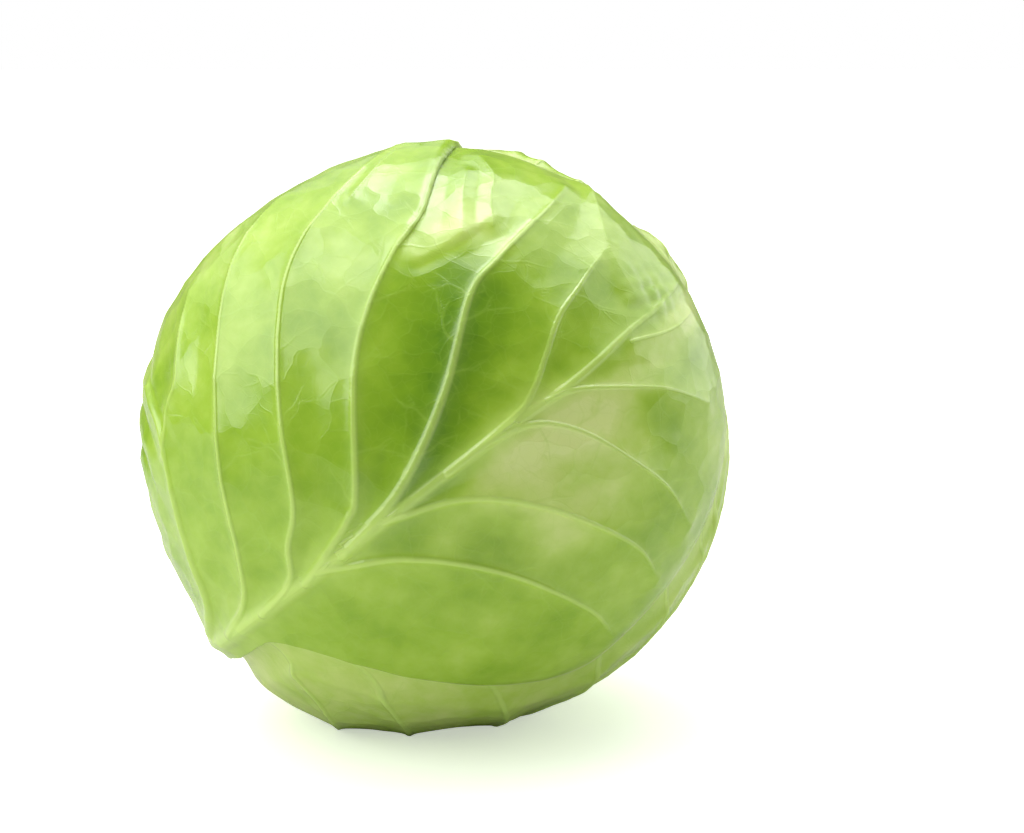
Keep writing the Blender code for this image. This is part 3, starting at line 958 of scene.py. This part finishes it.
    def close_shell(self, raised: bpy.types.Mesh, values: dict,
                    skin: bpy.types.Material) -> bpy.types.Object:
        """Give the raised sheet its thickness, with a coarser underside joined at the rim.

        Args:
            raised: The sheet after its relief.
            values: What the sheet's points carry, by name.
            skin: The leaf's material.

        Returns:
            The closed leaf.
        """
        n = self.count
        top = read_points(raised)
        out = top - self.head.centre
        reach = np.linalg.norm(out, axis=1)
        limit = values["limit"].ravel()
        out *= (np.minimum(reach, limit) / reach)[:, None]
        top = self.head.centre + out
        unit = out / np.linalg.norm(out, axis=1)[:, None]
        kept = np.arange(0, n, UNDER_STRIDE)
        under_index = (kept[:, None] * n + kept[None, :]).ravel()
        skin_gap = values["thick"].ravel()[under_index]
        under = top[under_index] - unit[under_index] * skin_gap[:, None]
        m = len(kept)
        faces = grid_faces(n) + [tuple(n * n + i for i in reversed(face)) for face in grid_faces(m)]
        faces += rim_faces(n, m)
        mesh = bpy.data.meshes.new(self.plan.name)
        mesh.from_pydata(np.vstack([top, under]).tolist(), [], faces)
        for label in ("mid", "side", "twig", "place"):
            given = read_vector(raised, label)
            write_vector(mesh, label, np.vstack([given, given[under_index]]))
        for label in ("tone", "edge"):
            given = values[label].ravel()
            write_value(mesh, label, np.concatenate([given, given[under_index]]))
        self.write_map(mesh, n, m)
        mesh.materials.append(skin)
        mesh.shade_smooth()
        bpy.data.meshes.remove(raised)
        piece = bpy.data.objects.new(self.plan.name, mesh)
        bpy.context.scene.collection.objects.link(piece)
        return piece

    def write_map(self, mesh: bpy.types.Mesh, n: int, m: int) -> None:
        """Write the leaf's own texture map: the top fills it but for a corner.

        Args:
            mesh: The closed leaf's mesh.
            n: Points along one side of the top's grid.
            m: Points along one side of the underside's grid.
        """
        share = UNDER_MAP_SHARE
        grid = np.linspace(0.0, 1.0, n)
        u, v = np.meshgrid(grid, grid)
        top = np.column_stack([0.004 + 0.992 * u.ravel(),
                               share + 0.01 + (0.985 - share) * v.ravel()])
        small = np.linspace(0.0, 1.0, m)
        u, v = np.meshgrid(small, small)
        under = np.column_stack([0.004 + (share - 0.01) * u.ravel(),
                                 0.004 + (share - 0.01) * v.ravel()])
        places = np.vstack([top, under])
        corner = np.empty(len(mesh.loops), np.int32)
        mesh.loops.foreach_get("vertex_index", corner)
        layer = mesh.uv_layers.new(name="OFBake")
        first_rim = (n - 1) ** 2 * 4 + (m - 1) ** 2 * 4
        shown = places[corner]
        strip = corner[first_rim:]
        shown[first_rim:, 0] = 0.2 + 0.75 * (strip % RIM_PLACES) / RIM_PLACES
        shown[first_rim:, 1] = 0.02 + 0.07 * (strip >= n * n)
        layer.data.foreach_set("uv", shown.astype(np.float32).ravel())


class FrontLeaf(LeafBlade):
    """The leaf that faces the front, with a torn corner and a fold at its top."""

    flush_depth = 1.1       # millimetres the blade is let down beside the torn corner's rib
    flush_reach = 11.0      # degrees over which it comes back up
    torn_rise = 1.5         # millimetres
    fold_rise = 0.7
    lip_rise = 0.6
    crumple_rise = 0.5
    lip_place = -37.0       # degrees across the leaf

    def extra_relief(self, across: np.ndarray, along: np.ndarray) -> np.ndarray:
        """Raise the blade left of the torn corner, and crumple it past the midrib's end.

        Args:
            across: Places across the leaf, in degrees.
            along: Places along it, in degrees.

        Returns:
            The rise at each place, in metres.
        """
        seam = np.interp(along, (25.0, 29.0, 41.0, 52.0, 64.0, 80.0),
                         (-37.5, -40.0, -47.0, -57.0, -67.0, -78.0))
        beside = np.maximum(across - seam, 0.0) / self.flush_reach
        flush = -self.flush_depth * np.maximum(1.0 - beside, 0.0) ** 2
        flush *= smooth((along - 27.0) / 9.0) * smooth(0.5 + (across - seam) / 2.0)
        step = smooth(0.5 - (across - seam) / 2.2)
        fade = smooth((along - 38.0) / 28.0) * smooth((across - seam + 26.0) / 24.0)
        torn = self.torn_rise * step * fade
        fold = self.fold_rise * np.exp(-((across + 12.0 + 1.1 * (along - 66.0)) / 9.0) ** 2)
        fold *= smooth((along - 52.0) / 14.0)
        lip = across - self.lip_place
        ridge = np.exp(-(lip / np.where(lip < 0.0, 7.0, 1.3)) ** 2)
        fold = fold + (self.lip_rise * ridge * smooth((along - 28.0) / 5.0)
                       * smooth((55.0 - along) / 6.0))
        crumple = np.sin(across * 1.1 + 0.5 * along) * np.sin(0.9 * along - 0.4 * across)
        crumple *= self.crumple_rise * np.exp(-((across + 3.0) / 7.0) ** 2 - ((along - 66.0) / 6.0) ** 2)
        return MM * (torn + fold + crumple + flush)

    def tone_at(self, across: np.ndarray, along: np.ndarray) -> np.ndarray:
        """Darken the green beside one side rib and in the middle, partly deeper green and partly painted
        shade; pale it at the patch and to the right, partly paler green and partly painted sheen; and
        pale it along the lip as a painted highlight.

        Args:
            across: Places across the leaf, in degrees.
            along: Places along it, in degrees.

        Returns:
            The tone at each place, from 0 pale to 1 dark.
        """
        # Darker green beside one side rib: partly deeper green, partly painted shade of the crease.
        route = np.array(DARK_AND_SHADED_SIDE_RIB.route, float)
        rib = np.interp(along, route[:, 1], route[:, 0])
        beside = np.exp(-((across - rib) / np.where(across < rib, 10.0, 6.5)) ** 2)
        start = np.where(across < rib, 4.0, -12.0)
        tone = 0.53 + 0.38 * beside * smooth((along - start) / 16.0) * smooth((46.0 - along) / 10.0)
        # A darker middle: partly deeper green, partly painted shade.
        tone += 0.10 * np.exp(-(((across + 20.0) / 22.0) ** 2 + ((along - 16.0) / 26.0) ** 2))
        # A paler patch: partly paler green, partly painted sheen.
        tone -= (0.30 * smooth((across + 6.0) / 8.0) * smooth((along - 6.0) / 12.0)
                 * smooth((46.0 - along) / 8.0) * smooth((34.0 - across) / 14.0))
        # Painted highlight: a pale rim along the lip's crease.
        lip = across - self.lip_place
        tone -= (0.30 * np.exp(-(lip / np.where(lip < 0.0, 6.0, 3.0)) ** 2)
                 * smooth((along - 27.0) / 6.0) * smooth((54.0 - along) / 8.0))
        tone -= 0.14 * smooth((-across - 50.0) / 16.0) * smooth((30.0 - along) / 20.0)
        tone -= 0.06 * smooth((along - 54.0 + 0.4 * across) / 20.0)
        # Paler to the right: partly paler green, partly painted sheen.
        tone -= (0.24 * smooth((across - 1.0) / 4.0) * smooth((16.0 - across) / 8.0)
                 * smooth((along + 6.0) / 10.0))
        return tone - 0.12 * smooth((-along - 58.0) / 22.0)


@dataclass(frozen=True)
class LeafFinish:
    """Cabbage leaf: a waxy cuticle over moist green tissue, grown, not made.

    The eye gets a smooth wet-looking gloss that shows every crease, pale fibrous ribs, a net
    of fine veins, and a green that is paler and yellower where less light reached the leaf.
    """

    name: str
    pale: str = "D1E08B"
    light: str = "A9CB41"
    middle: str = "83AB12"
    dark: str = "5C8802"
    rib: str = "C0DD70"
    edge: str = "D3E39A"
    net: str = "A9CC50"
    roughness: float = 0.22
    net_cell: float = 12.0      # millimetres across one mesh of the vein net
    fine_cell: float = 3.6
    mottle: float = 22.0        # millimetres across the soft colour patches
    grain: float = 0.7          # millimetres across the skin's fine grain, coarser than real

    def build(self) -> bpy.types.Material:
        """Make the material.

        Returns:
            The finished material.
        """
        material, shader = new_material(self.name)
        tree = material.node_tree

        kit = NodeKit(tree)
        attribute, math_node, mix, ease = kit.attribute, kit.math_node, kit.mix, kit.ease

        def rib_marks(name: str, near: float, far: float
                      ) -> tuple[bpy.types.NodeSocket, bpy.types.NodeSocket]:
            """Give a rib's crisp line and the pale band beside it.

            Args:
                name: The attribute that holds the rib's marks.
                near: Where the line starts to be cut off, in half widths.
                far: Where it is gone.

            Returns:
                The strengths of the line and of the band.
            """
            parts = add_node(tree, "ShaderNodeSeparateXYZ", None, {0: attribute(name, "Vector")})
            signed, gap, ink = parts.outputs
            line = ease(math_node("ABSOLUTE", signed), 0.35, 1.35, 1.0, 0.0)
            line = math_node("MULTIPLY", line, ease(gap, near, far, 1.0, 0.0))
            band = ease(gap, 0.0, 6.0, 1.0, 0.0)
            return (math_node("MULTIPLY", line, ink),
                    math_node("MULTIPLY", math_node("MULTIPLY", band, band), ink))

        place = attribute("place", "Vector")
        bent = net_place(tree, place)
        nets = []
        for cell, line in ((self.net_cell, 0.040), (self.fine_cell, 0.08)):
            net = add_node(tree, "ShaderNodeTexVoronoi",
                           {"feature": "DISTANCE_TO_EDGE", "voronoi_dimensions": "2D"},
                           {"Vector": bent, "Scale": 1.0 / (cell * MM)})
            nets.append(ease(net.outputs["Distance"], 0.0, line, 1.0, 0.0))
        mottle = kit.noise(place, self.mottle, 4.0, 0.55)
        blotch = kit.noise(place, 6.0)
        broken = ease(blotch, 0.35, 0.62)
        tone = math_node("ADD", attribute("tone"), math_node(
            "MULTIPLY", math_node("SUBTRACT", mottle, 0.5), 0.65))
        tone = math_node("ADD", tone, math_node(
            "MULTIPLY", math_node("SUBTRACT", blotch, 0.5), 0.22))
        colour = kit.ramp(tone, ((0.05, self.pale), (0.35, self.light), (0.65, self.middle),
                                 (0.98, self.dark)), "B_SPLINE")
        mid_line, mid_band = rib_marks("mid", 1.1, 1.9)
        side_line, side_band = rib_marks("side", 1.1, 1.9)
        twig_line, twig_band = rib_marks("twig", 1.8, 3.0)
        twig_line = math_node("MULTIPLY", twig_line, math_node("SUBTRACT", 1.0, mid_band))
        for share, amount in ((nets[1], 0.08), (math_node("MULTIPLY", nets[0], broken), 0.13),
                              (twig_band, 0.08), (twig_line, 0.17)):
            colour = mix(math_node("MULTIPLY", share, amount), colour, linear_colour(self.net))
        for share, amount in ((mid_band, 0.35), (side_band, 0.18), (side_line, 0.66),
                              (mid_line, 0.75)):
            colour = mix(math_node("MULTIPLY", share, amount), colour, linear_colour(self.rib))
        colour = mix(math_node("MULTIPLY", attribute("edge"), 0.55), colour,
                     linear_colour(self.edge))
        tree.links.new(colour, shader.inputs["Base Color"])
        rough = math_node("ADD", self.roughness - 0.05, math_node("MULTIPLY", blotch, 0.10))
        tree.links.new(rough, shader.inputs["Roughness"])
        grain = kit.noise(place, self.grain, 1.0)
        height = math_node("MULTIPLY", nets[0], 0.02)
        for share, amount in ((nets[1], 0.008), (grain, 0.008), (blotch, 0.05),
                              (twig_line, 0.03), (side_line, 0.25), (mid_line, 0.28)):
            height = math_node("MULTIPLY_ADD", share, amount, height)
        tree.links.new(kit.bump(height), shader.inputs["Normal"])
        shader.inputs["IOR"].default_value = 1.5
        shader.inputs["Specular IOR Level"].default_value = 0.74
        shader.inputs["Subsurface Weight"].default_value = 0.12
        shader.inputs["Subsurface Radius"].default_value = (0.6, 1.0, 0.2)
        shader.inputs["Subsurface Scale"].default_value = 1.5 * MM
        return material


@dataclass(frozen=True)
class HeartFinish:
    """Heart leaf: blanched cabbage leaf that grew folded in the dark.

    The eye gets a creamy yellow, paler at the thick ribs, with a fine crinkle and little gloss.
    """

    name: str = "blanched_heart_leaf"
    cream: str = "F1EDB8"
    yellow: str = "E3DC7C"
    rib: str = "F4F2D6"
    roughness: float = 0.42

    def build(self) -> bpy.types.Material:
        """Make the material.

        Returns:
            The finished material.
        """
        material, shader = new_material(self.name)
        tree = material.node_tree
        kit = NodeKit(tree)
        place = add_node(tree, "ShaderNodeTexCoord").outputs["Object"]
        patches, crinkle = kit.noise(place, 18.0, 3.0), kit.noise(place, 5.0, 3.0)
        veins = add_node(tree, "ShaderNodeTexVoronoi", {"feature": "DISTANCE_TO_EDGE"},
                         {"Vector": place, "Scale": 1.0 / (9.0 * MM)}).outputs["Distance"]
        line = kit.ease(veins, 0.0, 0.06, 1.0, 0.0)
        colour = kit.mix(kit.ease(patches, 0.35, 0.65), linear_colour(self.cream),
                         linear_colour(self.yellow))
        colour = kit.mix(kit.math_node("MULTIPLY", line, 0.6), colour, linear_colour(self.rib))
        tree.links.new(colour, shader.inputs["Base Color"])
        tree.links.new(kit.math_node("MULTIPLY_ADD", crinkle, 0.12, self.roughness - 0.06),
                       shader.inputs["Roughness"])
        height = kit.math_node("MULTIPLY_ADD", line, 0.15,
                               kit.math_node("MULTIPLY", crinkle, 0.5))
        tree.links.new(kit.bump(height), shader.inputs["Normal"])
        shader.inputs["IOR"].default_value = 1.45
        shader.inputs["Subsurface Weight"].default_value = 0.15
        shader.inputs["Subsurface Scale"].default_value = 1.5 * MM
        return material


@dataclass(frozen=True)
class CutStemFinish:
    """Cabbage stem: moist pale pith in a fibrous green rind, cut with a knife and dried.

    The eye gets a matt cream face that browns towards its rim, with a greener ring of sap
    vessels, and a greenish rind with lengthwise fibres.
    """

    name: str = "cut_cabbage_stem"
    pith: str = "EDEBC8"
    ring: str = "CBD693"
    dried: str = "B89F66"
    rind: str = "D2DFA2"
    fibre: str = "B9CB80"

    def build(self) -> bpy.types.Material:
        """Make the material.

        Returns:
            The finished material.
        """
        material, shader = new_material(self.name)
        tree = material.node_tree
        kit = NodeKit(tree)
        place = add_node(tree, "ShaderNodeTexCoord").outputs["Object"]
        stretched = add_node(tree, "ShaderNodeCombineXYZ", None, {
            0: kit.math_node("MULTIPLY", kit.attribute("around"), 12.0 * MM),
            1: kit.math_node("MULTIPLY", kit.attribute("reach"), 0.12)}).outputs[0]
        fibres = kit.noise(stretched, 1.3, 3.0)
        mottle, speck = kit.noise(place, 4.0, 3.0), kit.noise(place, 0.8, 2.0)
        spread = kit.math_node("MULTIPLY_ADD", mottle, 0.16,
                               kit.math_node("ADD", kit.attribute("spread"), -0.08))
        rings = kit.ramp(spread, ((0.0, self.pith), (0.55, self.pith), (0.72, self.ring),
                                  (0.86, self.pith), (0.97, self.dried)))
        face = kit.mix(kit.ease(speck, 0.60, 0.75, 0.0, 0.35), rings,
                       linear_colour(self.dried))
        side = kit.mix(kit.ease(fibres, 0.4, 0.6), linear_colour(self.rind),
                       linear_colour(self.fibre))
        tree.links.new(kit.mix(kit.attribute("face"), side, face), shader.inputs["Base Color"])
        tree.links.new(kit.math_node("MULTIPLY_ADD", mottle, 0.2, 0.45),
                       shader.inputs["Roughness"])
        height = kit.math_node("MULTIPLY_ADD", speck, 0.12, kit.math_node("MULTIPLY", fibres, 0.25))
        tree.links.new(kit.bump(height), shader.inputs["Normal"])
        shader.inputs["IOR"].default_value = 1.45
        shader.inputs["Subsurface Weight"].default_value = 0.1
        shader.inputs["Subsurface Scale"].default_value = 1.5 * MM
        return material


class VesselTree(GeometryTree):
    """The Geometry Nodes tree that sets a ring of sap vessels' dried ends on the cut face."""

    NAME = "sap_vessels"
    INPUTS = (("Core", "NodeSocketGeometry"), ("Ring Radius", "NodeSocketFloat"),
              ("Vessel Size", "NodeSocketFloat"), ("Vessels", "NodeSocketInt"),
              ("Seed", "NodeSocketInt"), ("Place", "NodeSocketVector"),
              ("Turn", "NodeSocketRotation"), ("Skin", "NodeSocketMaterial"))

    def build(self) -> None:
        """Link the whole tree."""
        tree = self.tree
        given = add_node(tree, "NodeGroupInput").outputs
        ring = add_node(tree, "GeometryNodeMeshCircle", None,
                        {"Vertices": given["Vessels"], "Radius": given["Ring Radius"]})
        stray = add_node(tree, "FunctionNodeRandomValue", {"data_type": "FLOAT_VECTOR"},
                         {0: (-1.0, -1.0, -0.1), 1: (1.0, 1.0, 0.1), "Seed": given["Seed"]})
        reach = add_node(tree, "ShaderNodeVectorMath", {"operation": "SCALE"},
                         {0: stray.outputs[0], "Scale": given["Vessel Size"]})
        moved = add_node(tree, "GeometryNodeSetPosition", None,
                         {"Geometry": ring.outputs[0], "Offset": reach.outputs[0]})
        bead = add_node(tree, "GeometryNodeMeshIcoSphere", None,
                        {"Radius": given["Vessel Size"], "Subdivisions": 2})
        size = add_node(tree, "FunctionNodeRandomValue", {"data_type": "FLOAT_VECTOR"},
                        {0: (0.6, 0.6, 0.3), 1: (1.3, 1.3, 0.6), "Seed": given["Seed"]})
        beads = add_node(tree, "GeometryNodeInstanceOnPoints", None,
                         {"Points": moved.outputs[0], "Instance": bead.outputs[0],
                          "Scale": size.outputs[0]})
        set_down = add_node(tree, "GeometryNodeTransform", None,
                            {"Geometry": beads.outputs[0], "Translation": given["Place"],
                             "Rotation": given["Turn"]})
        joined = add_node(tree, "GeometryNodeJoinGeometry")
        tree.links.new(set_down.outputs[0], joined.inputs[0])
        tree.links.new(given["Core"], joined.inputs[0])
        self.finish(joined.outputs[0], given["Skin"])


@dataclass
class CutStem:
    """The stem: a core that tapers into the head and ends in the cut face under its foot."""

    head: HeadForm
    around: int = 96
    rim: float = 0.9            # millimetres, of the cut edge's rounding
    dish: float = 0.7           # millimetres the drying pith has sunk
    fibre_relief: float = 0.22  # millimetres
    vessels: int = 26
    vessel_size: float = 0.42   # millimetres
    seed: int = 4

    def profile(self) -> tuple[np.ndarray, np.ndarray, np.ndarray]:
        """Give the stem's outline from its hidden tip to the middle of its cut face.

        Returns:
            The distances along the axis, the radii, both in metres, and the face share.
        """
        core = read_points(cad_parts["stem_core"].data) - self.head.centre
        reach = core @ self.head.stem
        radius = np.linalg.norm(core - np.outer(reach, self.head.stem), axis=1)
        top, base = reach.min(), reach.max()
        wide, slim = radius[reach > base - MM].max(), radius[reach < top + MM].max()
        rim = self.rim * MM
        share = np.linspace(0.0, 1.0, 70)
        side = [(top, 0.001 * slim), (top, 0.6 * slim), (top + 0.4 * MM, 0.93 * slim)]
        side += [(top + MM + (base - rim - top - MM) * t, slim + (wide - slim) * t) for t in share]
        turn = np.linspace(0.0, math.pi / 2.0, 6)[1:]
        edge = [(base - rim + rim * math.sin(a), wide - rim + rim * math.cos(a)) for a in turn]
        across = np.linspace(1.0, 0.004, 16)[1:]
        face = [(base - self.dish * MM * (1.0 - r ** 4), (wide - rim) * r) for r in across]
        rows = np.array(side + edge + face)
        on_face = np.concatenate([np.zeros(len(side)), np.linspace(0.3, 1.0, len(edge)),
                                  np.ones(len(face))])
        return rows[:, 0], rows[:, 1], on_face

    def build(self, skin: bpy.types.Material) -> bpy.types.Object:
        """Make the stem.

        Args:
            skin: The stem's material.

        Returns:
            The finished piece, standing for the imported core.
        """
        reach, radius, on_face = self.profile()
        stem = Vector(self.head.stem)
        turned = stem.to_track_quat("Z", "Y")
        sideways, other = np.array(turned @ Vector((1, 0, 0))), np.array(turned @ Vector((0, 1, 0)))
        angle = np.linspace(0.0, 2.0 * math.pi, self.around, endpoint=False)
        fibres = sum(np.sin(k * angle + 1.7 * k) / 4.0 for k in (7, 11, 17, 29))
        lean = 0.5 + 0.5 * np.sin(angle * 2.0 + 0.4)
        relief = np.outer(1.0 - on_face, fibres) * self.fibre_relief * MM - self.fibre_relief * MM
        relief *= smooth(radius / (3.0 * MM))[:, None]
        wide = np.maximum(radius[:, None] + relief, 1e-5)
        saw = 0.12 * MM * np.sin(9.0 * wide / wide.max() + 2.0 * lean) * on_face[:, None]
        out = (np.multiply.outer(np.cos(angle), sideways) + np.multiply.outer(np.sin(angle), other))
        points = (self.head.centre + (reach[:, None] - np.abs(saw))[..., None] * self.head.stem
                  + wide[..., None] * out)
        rows, n = len(reach), self.around
        faces = [(r * n + c, r * n + (c + 1) % n, (r + 1) * n + (c + 1) % n, (r + 1) * n + c)
                 for r in range(rows - 1) for c in range(n)]
        faces += [tuple(range(n - 1, -1, -1)), tuple((rows - 1) * n + c for c in range(n))]
        mesh = bpy.data.meshes.new("cut_stem_core")
        mesh.from_pydata(points.reshape(-1, 3).tolist(), [], faces)
        mesh.shade_smooth()
        top = radius.max()
        write_value(mesh, "face", np.repeat(on_face, n))
        write_value(mesh, "spread", np.repeat(radius / top, n))
        write_value(mesh, "around", np.tile(np.abs(angle - math.pi), rows))
        write_value(mesh, "reach", np.repeat(reach, n))
        sheet = bpy.data.objects.new("cut_stem_core", mesh)
        bpy.context.scene.collection.objects.link(sheet)
        face_reach = reach.max() - 0.5 * self.dish * MM
        place = self.head.centre + self.head.stem * face_reach
        result = VesselTree().apply(sheet, {
            "Ring Radius": 0.7 * top, "Vessel Size": self.vessel_size * MM,
            "Vessels": self.vessels, "Seed": self.seed, "Place": tuple(place),
            "Turn": tuple(turned.to_euler()), "Skin": skin})
        bpy.data.objects.remove(sheet, do_unlink=True)
        piece = bpy.data.objects.new("cut_stem", result)
        bpy.context.scene.collection.objects.link(piece)
        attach(piece, "root")
        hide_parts("stem_core")
        LOG.info("%s: %d faces", piece.name, len(result.polygons))
        return piece


FRONT_BOW = ((-90.0, -3.0), (-70.0, -3.5), (-45.0, -6.0), (-25.0, -6.5), (0.0, -5.5),
             (20.0, -3.0), (38.0, 1.0), (54.0, 4.0), (69.0, 8.5), (95.0, 15.0))
WIDE = Side(76.0)
BROAD = Side(100.0)
SLENDER = Side(60.0, 0.09, 0.42, 0.9)
WRAPPER_PLANS = (
    LeafPlan("front_leaf", "wrapper_leaf_front", "wrapper", 4.0, BROAD, SLENDER, 90.0, 282, 3,
             0.5, RibPlan.FRONT, FRONT_BOW),
    LeafPlan("foot_leaf", "wrapper_leaf_foot", "wrapper", 80.0, BROAD, WIDE, 94.0, 282, 5, 0.22,
             RibPlan.FOOT),
    LeafPlan("right_leaf", "wrapper_leaf_right", "wrapper", 156.0, WIDE, WIDE, 96.0, 252, 8, 0.40),
    LeafPlan("back_leaf", "wrapper_leaf_back", "wrapper", 226.0, WIDE, WIDE, 96.0, 252, 13, 0.46),
    LeafPlan("top_leaf", "wrapper_leaf_top", "wrapper", 290.0, WIDE, WIDE, 98.0, 252, 21, 0.38),
    LeafPlan("under_leaf_foot", "wrapper_leaf_under_foot", "under_wrapper", 50.0, WIDE, WIDE, 90.0,
             132, 34, 0.18),
    LeafPlan("under_leaf_back", "wrapper_leaf_under_back", "under_wrapper", 170.0, WIDE, WIDE,
             90.0, 132, 55, 0.18),
    LeafPlan("under_leaf_top", "wrapper_leaf_under_top", "under_wrapper", 300.0, WIDE, WIDE, 90.0,
             132, 89, 0.18),
)


@dataclass(frozen=True)
class Softbox:
    """A softbox that faces the head.

    azimuth and elevation are in degrees as seen from the head, azimuth 0 towards the camera
    and turning right. distance, width and height are in metres, and brightness is its
    radiance.
    """

    name: str
    azimuth: float
    elevation: float
    distance: float
    width: float
    height: float
    brightness: float

    def build(self, head_centre: np.ndarray) -> None:
        """Hang the softbox."""
        around, above = math.radians(self.azimuth), math.radians(self.elevation)
        away = Vector((math.sin(around) * math.cos(above), -math.cos(around) * math.cos(above),
                       math.sin(above)))
        data = bpy.data.lights.new(self.name, "AREA")
        data.shape = "RECTANGLE"
        data.size, data.size_y = self.width, self.height
        data.energy = self.brightness * math.pi * self.width * self.height
        item = bpy.data.objects.new(self.name, data)
        item.location = Vector(head_centre) + away * self.distance
        item.rotation_mode = "QUATERNION"
        item.rotation_quaternion = (-away).to_track_quat("-Z", "Y")
        item.visible_camera = False
        bpy.context.scene.collection.objects.link(item)


SOFTBOXES = (
    Softbox("top_softbox", 0.0, 104.0, 1.2, 1.5, 1.25, 2.1),
    Softbox("top_bright_middle", 2.0, 105.0, 1.15, 0.44, 0.60, 4.9),
    Softbox("left_softbox", -80.0, 38.0, 1.15, 1.25, 1.2, 2.6),
    Softbox("right_softbox", 122.0, 28.0, 1.2, 1.3, 1.4, 1.3),
    Softbox("back_left_softbox", -148.0, 34.0, 1.2, 1.2, 0.9, 0.6),
)


@dataclass(frozen=True)
class Studio:
    """A pale floor, soft lights and the camera."""

    head: HeadForm
    elevation: float = 11.0
    distance: float = 0.75
    lens: float = 85.0
    aim_right: float = 0.0237
    aim_up: float = 0.0053
    fill: float = 0.32          # radiance of the room's soft fill
    glossy_fill: float = 0.14   # what the leaves' gloss picks up of it
    floor_level: float = -0.05  # millimetres, so that the flat foot and the floor do not flicker

    def camera(self) -> None:
        """Stand the camera in front, a little above the head, which sits left of the middle."""
        tilt = math.radians(self.elevation)
        forward = Vector((0.0, math.cos(tilt), -math.sin(tilt)))
        up = Vector((0.0, math.sin(tilt), math.cos(tilt)))
        aim = Vector(self.head.centre) + Vector((self.aim_right, 0.0, 0.0)) + up * self.aim_up
        data = bpy.data.cameras.new("camera")
        data.lens = self.lens
        data.sensor_width = 36.0
        item = bpy.data.objects.new("camera", data)
        item.location = aim - forward * self.distance
        item.rotation_mode = "QUATERNION"
        item.rotation_quaternion = forward.to_track_quat("-Z", "Y")
        bpy.context.scene.collection.objects.link(item)
        bpy.context.scene.camera = item

    def floor(self) -> None:
        """Lay the pale floor, which glows for the camera only and fades to the backdrop's white away
        from the head; near the head the glow is painted bounce light, which lightens the contact shadow
        and tints it green.
        """
        material, shader = new_material("white_studio_floor")
        tree = material.node_tree
        kit = NodeKit(tree)
        rays = add_node(tree, "ShaderNodeLightPath").outputs
        paper = kit.mix(rays["Is Glossy Ray"], linear_colour("F0F0EE"), linear_colour("B4B4B0"))
        tree.links.new(paper, shader.inputs["Base Color"])
        shader.inputs["Roughness"].default_value = 0.6
        place = add_node(tree, "ShaderNodeTexCoord").outputs["Object"]
        away = add_node(tree, "ShaderNodeVectorMath", {"operation": "LENGTH"},
                        {0: place}).outputs["Value"]
        # Painted bounce light: the camera-only glow, tinted green, lightens the floor's contact shadow
        # near the head.
        glow = kit.ease(away, 0.1, 0.7, 0.54, 1.0)
        strength = kit.math_node("MULTIPLY", glow, rays["Is Camera Ray"])
        shader.inputs["Emission Color"].default_value = linear_colour("F7FFEE")
        tree.links.new(strength, shader.inputs["Emission Strength"])
        bpy.ops.mesh.primitive_plane_add(size=8.0, location=(0.0, 0.0, self.floor_level * MM))
        item = bpy.context.object
        item.name = "floor"
        item.data.materials.append(material)

    def build(self) -> None:
        """Set up the whole studio."""
        self.camera()
        self.floor()
        for box in SOFTBOXES:
            box.build(self.head.centre)
        world = bpy.data.worlds.new("studio")
        bpy.context.scene.world = world
        world.use_nodes = True
        tree = world.node_tree
        background = tree.nodes["Background"]
        rays = add_node(tree, "ShaderNodeLightPath").outputs
        kit = NodeKit(tree)
        fill = kit.ease(rays["Is Glossy Ray"], 0.0, 1.0, self.fill, self.glossy_fill)
        shade = kit.math_node("MAXIMUM", fill, rays["Is Camera Ray"])
        background.inputs["Color"].default_value = (1.0, 1.0, 1.0, 1.0)
        tree.links.new(shade, background.inputs["Strength"])
        bpy.context.scene.view_settings.view_transform = "Standard"


class Cabbage:
    """The whole head."""

    def __init__(self) -> None:
        """Read the head's form and set up what all its leaves share."""
        self.head = HeadForm.from_frame()
        self.relief = ReliefTree()
        self.wrapper_skin = LeafFinish("waxy_green_leaf").build()
        self.under_skin = LeafFinish("waxy_pale_leaf", light="B9D46C", middle="A0C250").build()
        self.heart_skin = HeartFinish().build()
        self.stem_skin = CutStemFinish().build()

    def build(self) -> None:
        """Build every piece in order, from the outside inwards."""
        for layer, plan in enumerate(WRAPPER_PLANS):
            kind = FrontLeaf if plan.rib_plan is RibPlan.FRONT else LeafBlade
            skin = self.wrapper_skin if plan.slot == "wrapper" else self.under_skin
            kind(self.head, plan, list(WRAPPER_PLANS[:layer]), LeafHabit()).build(self.relief, skin)
        CutStem(self.head).build(self.stem_skin)
        self.dress_heart()

    def dress_heart(self) -> None:
        """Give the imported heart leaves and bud, which stay as they are, their finish."""
        for name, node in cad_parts.items():
            if name.startswith("heart"):
                for slot in node.material_slots:
                    slot.material = self.heart_skin
                LOG.info("%s: dressed", name)


def main() -> None:
    """Build the cabbage and its studio."""
    logging.basicConfig(level=logging.INFO, format="%(name)s %(message)s")
    cabbage = Cabbage()
    cabbage.build()
    Studio(cabbage.head).build()


if __name__ == "__main__":
    main()
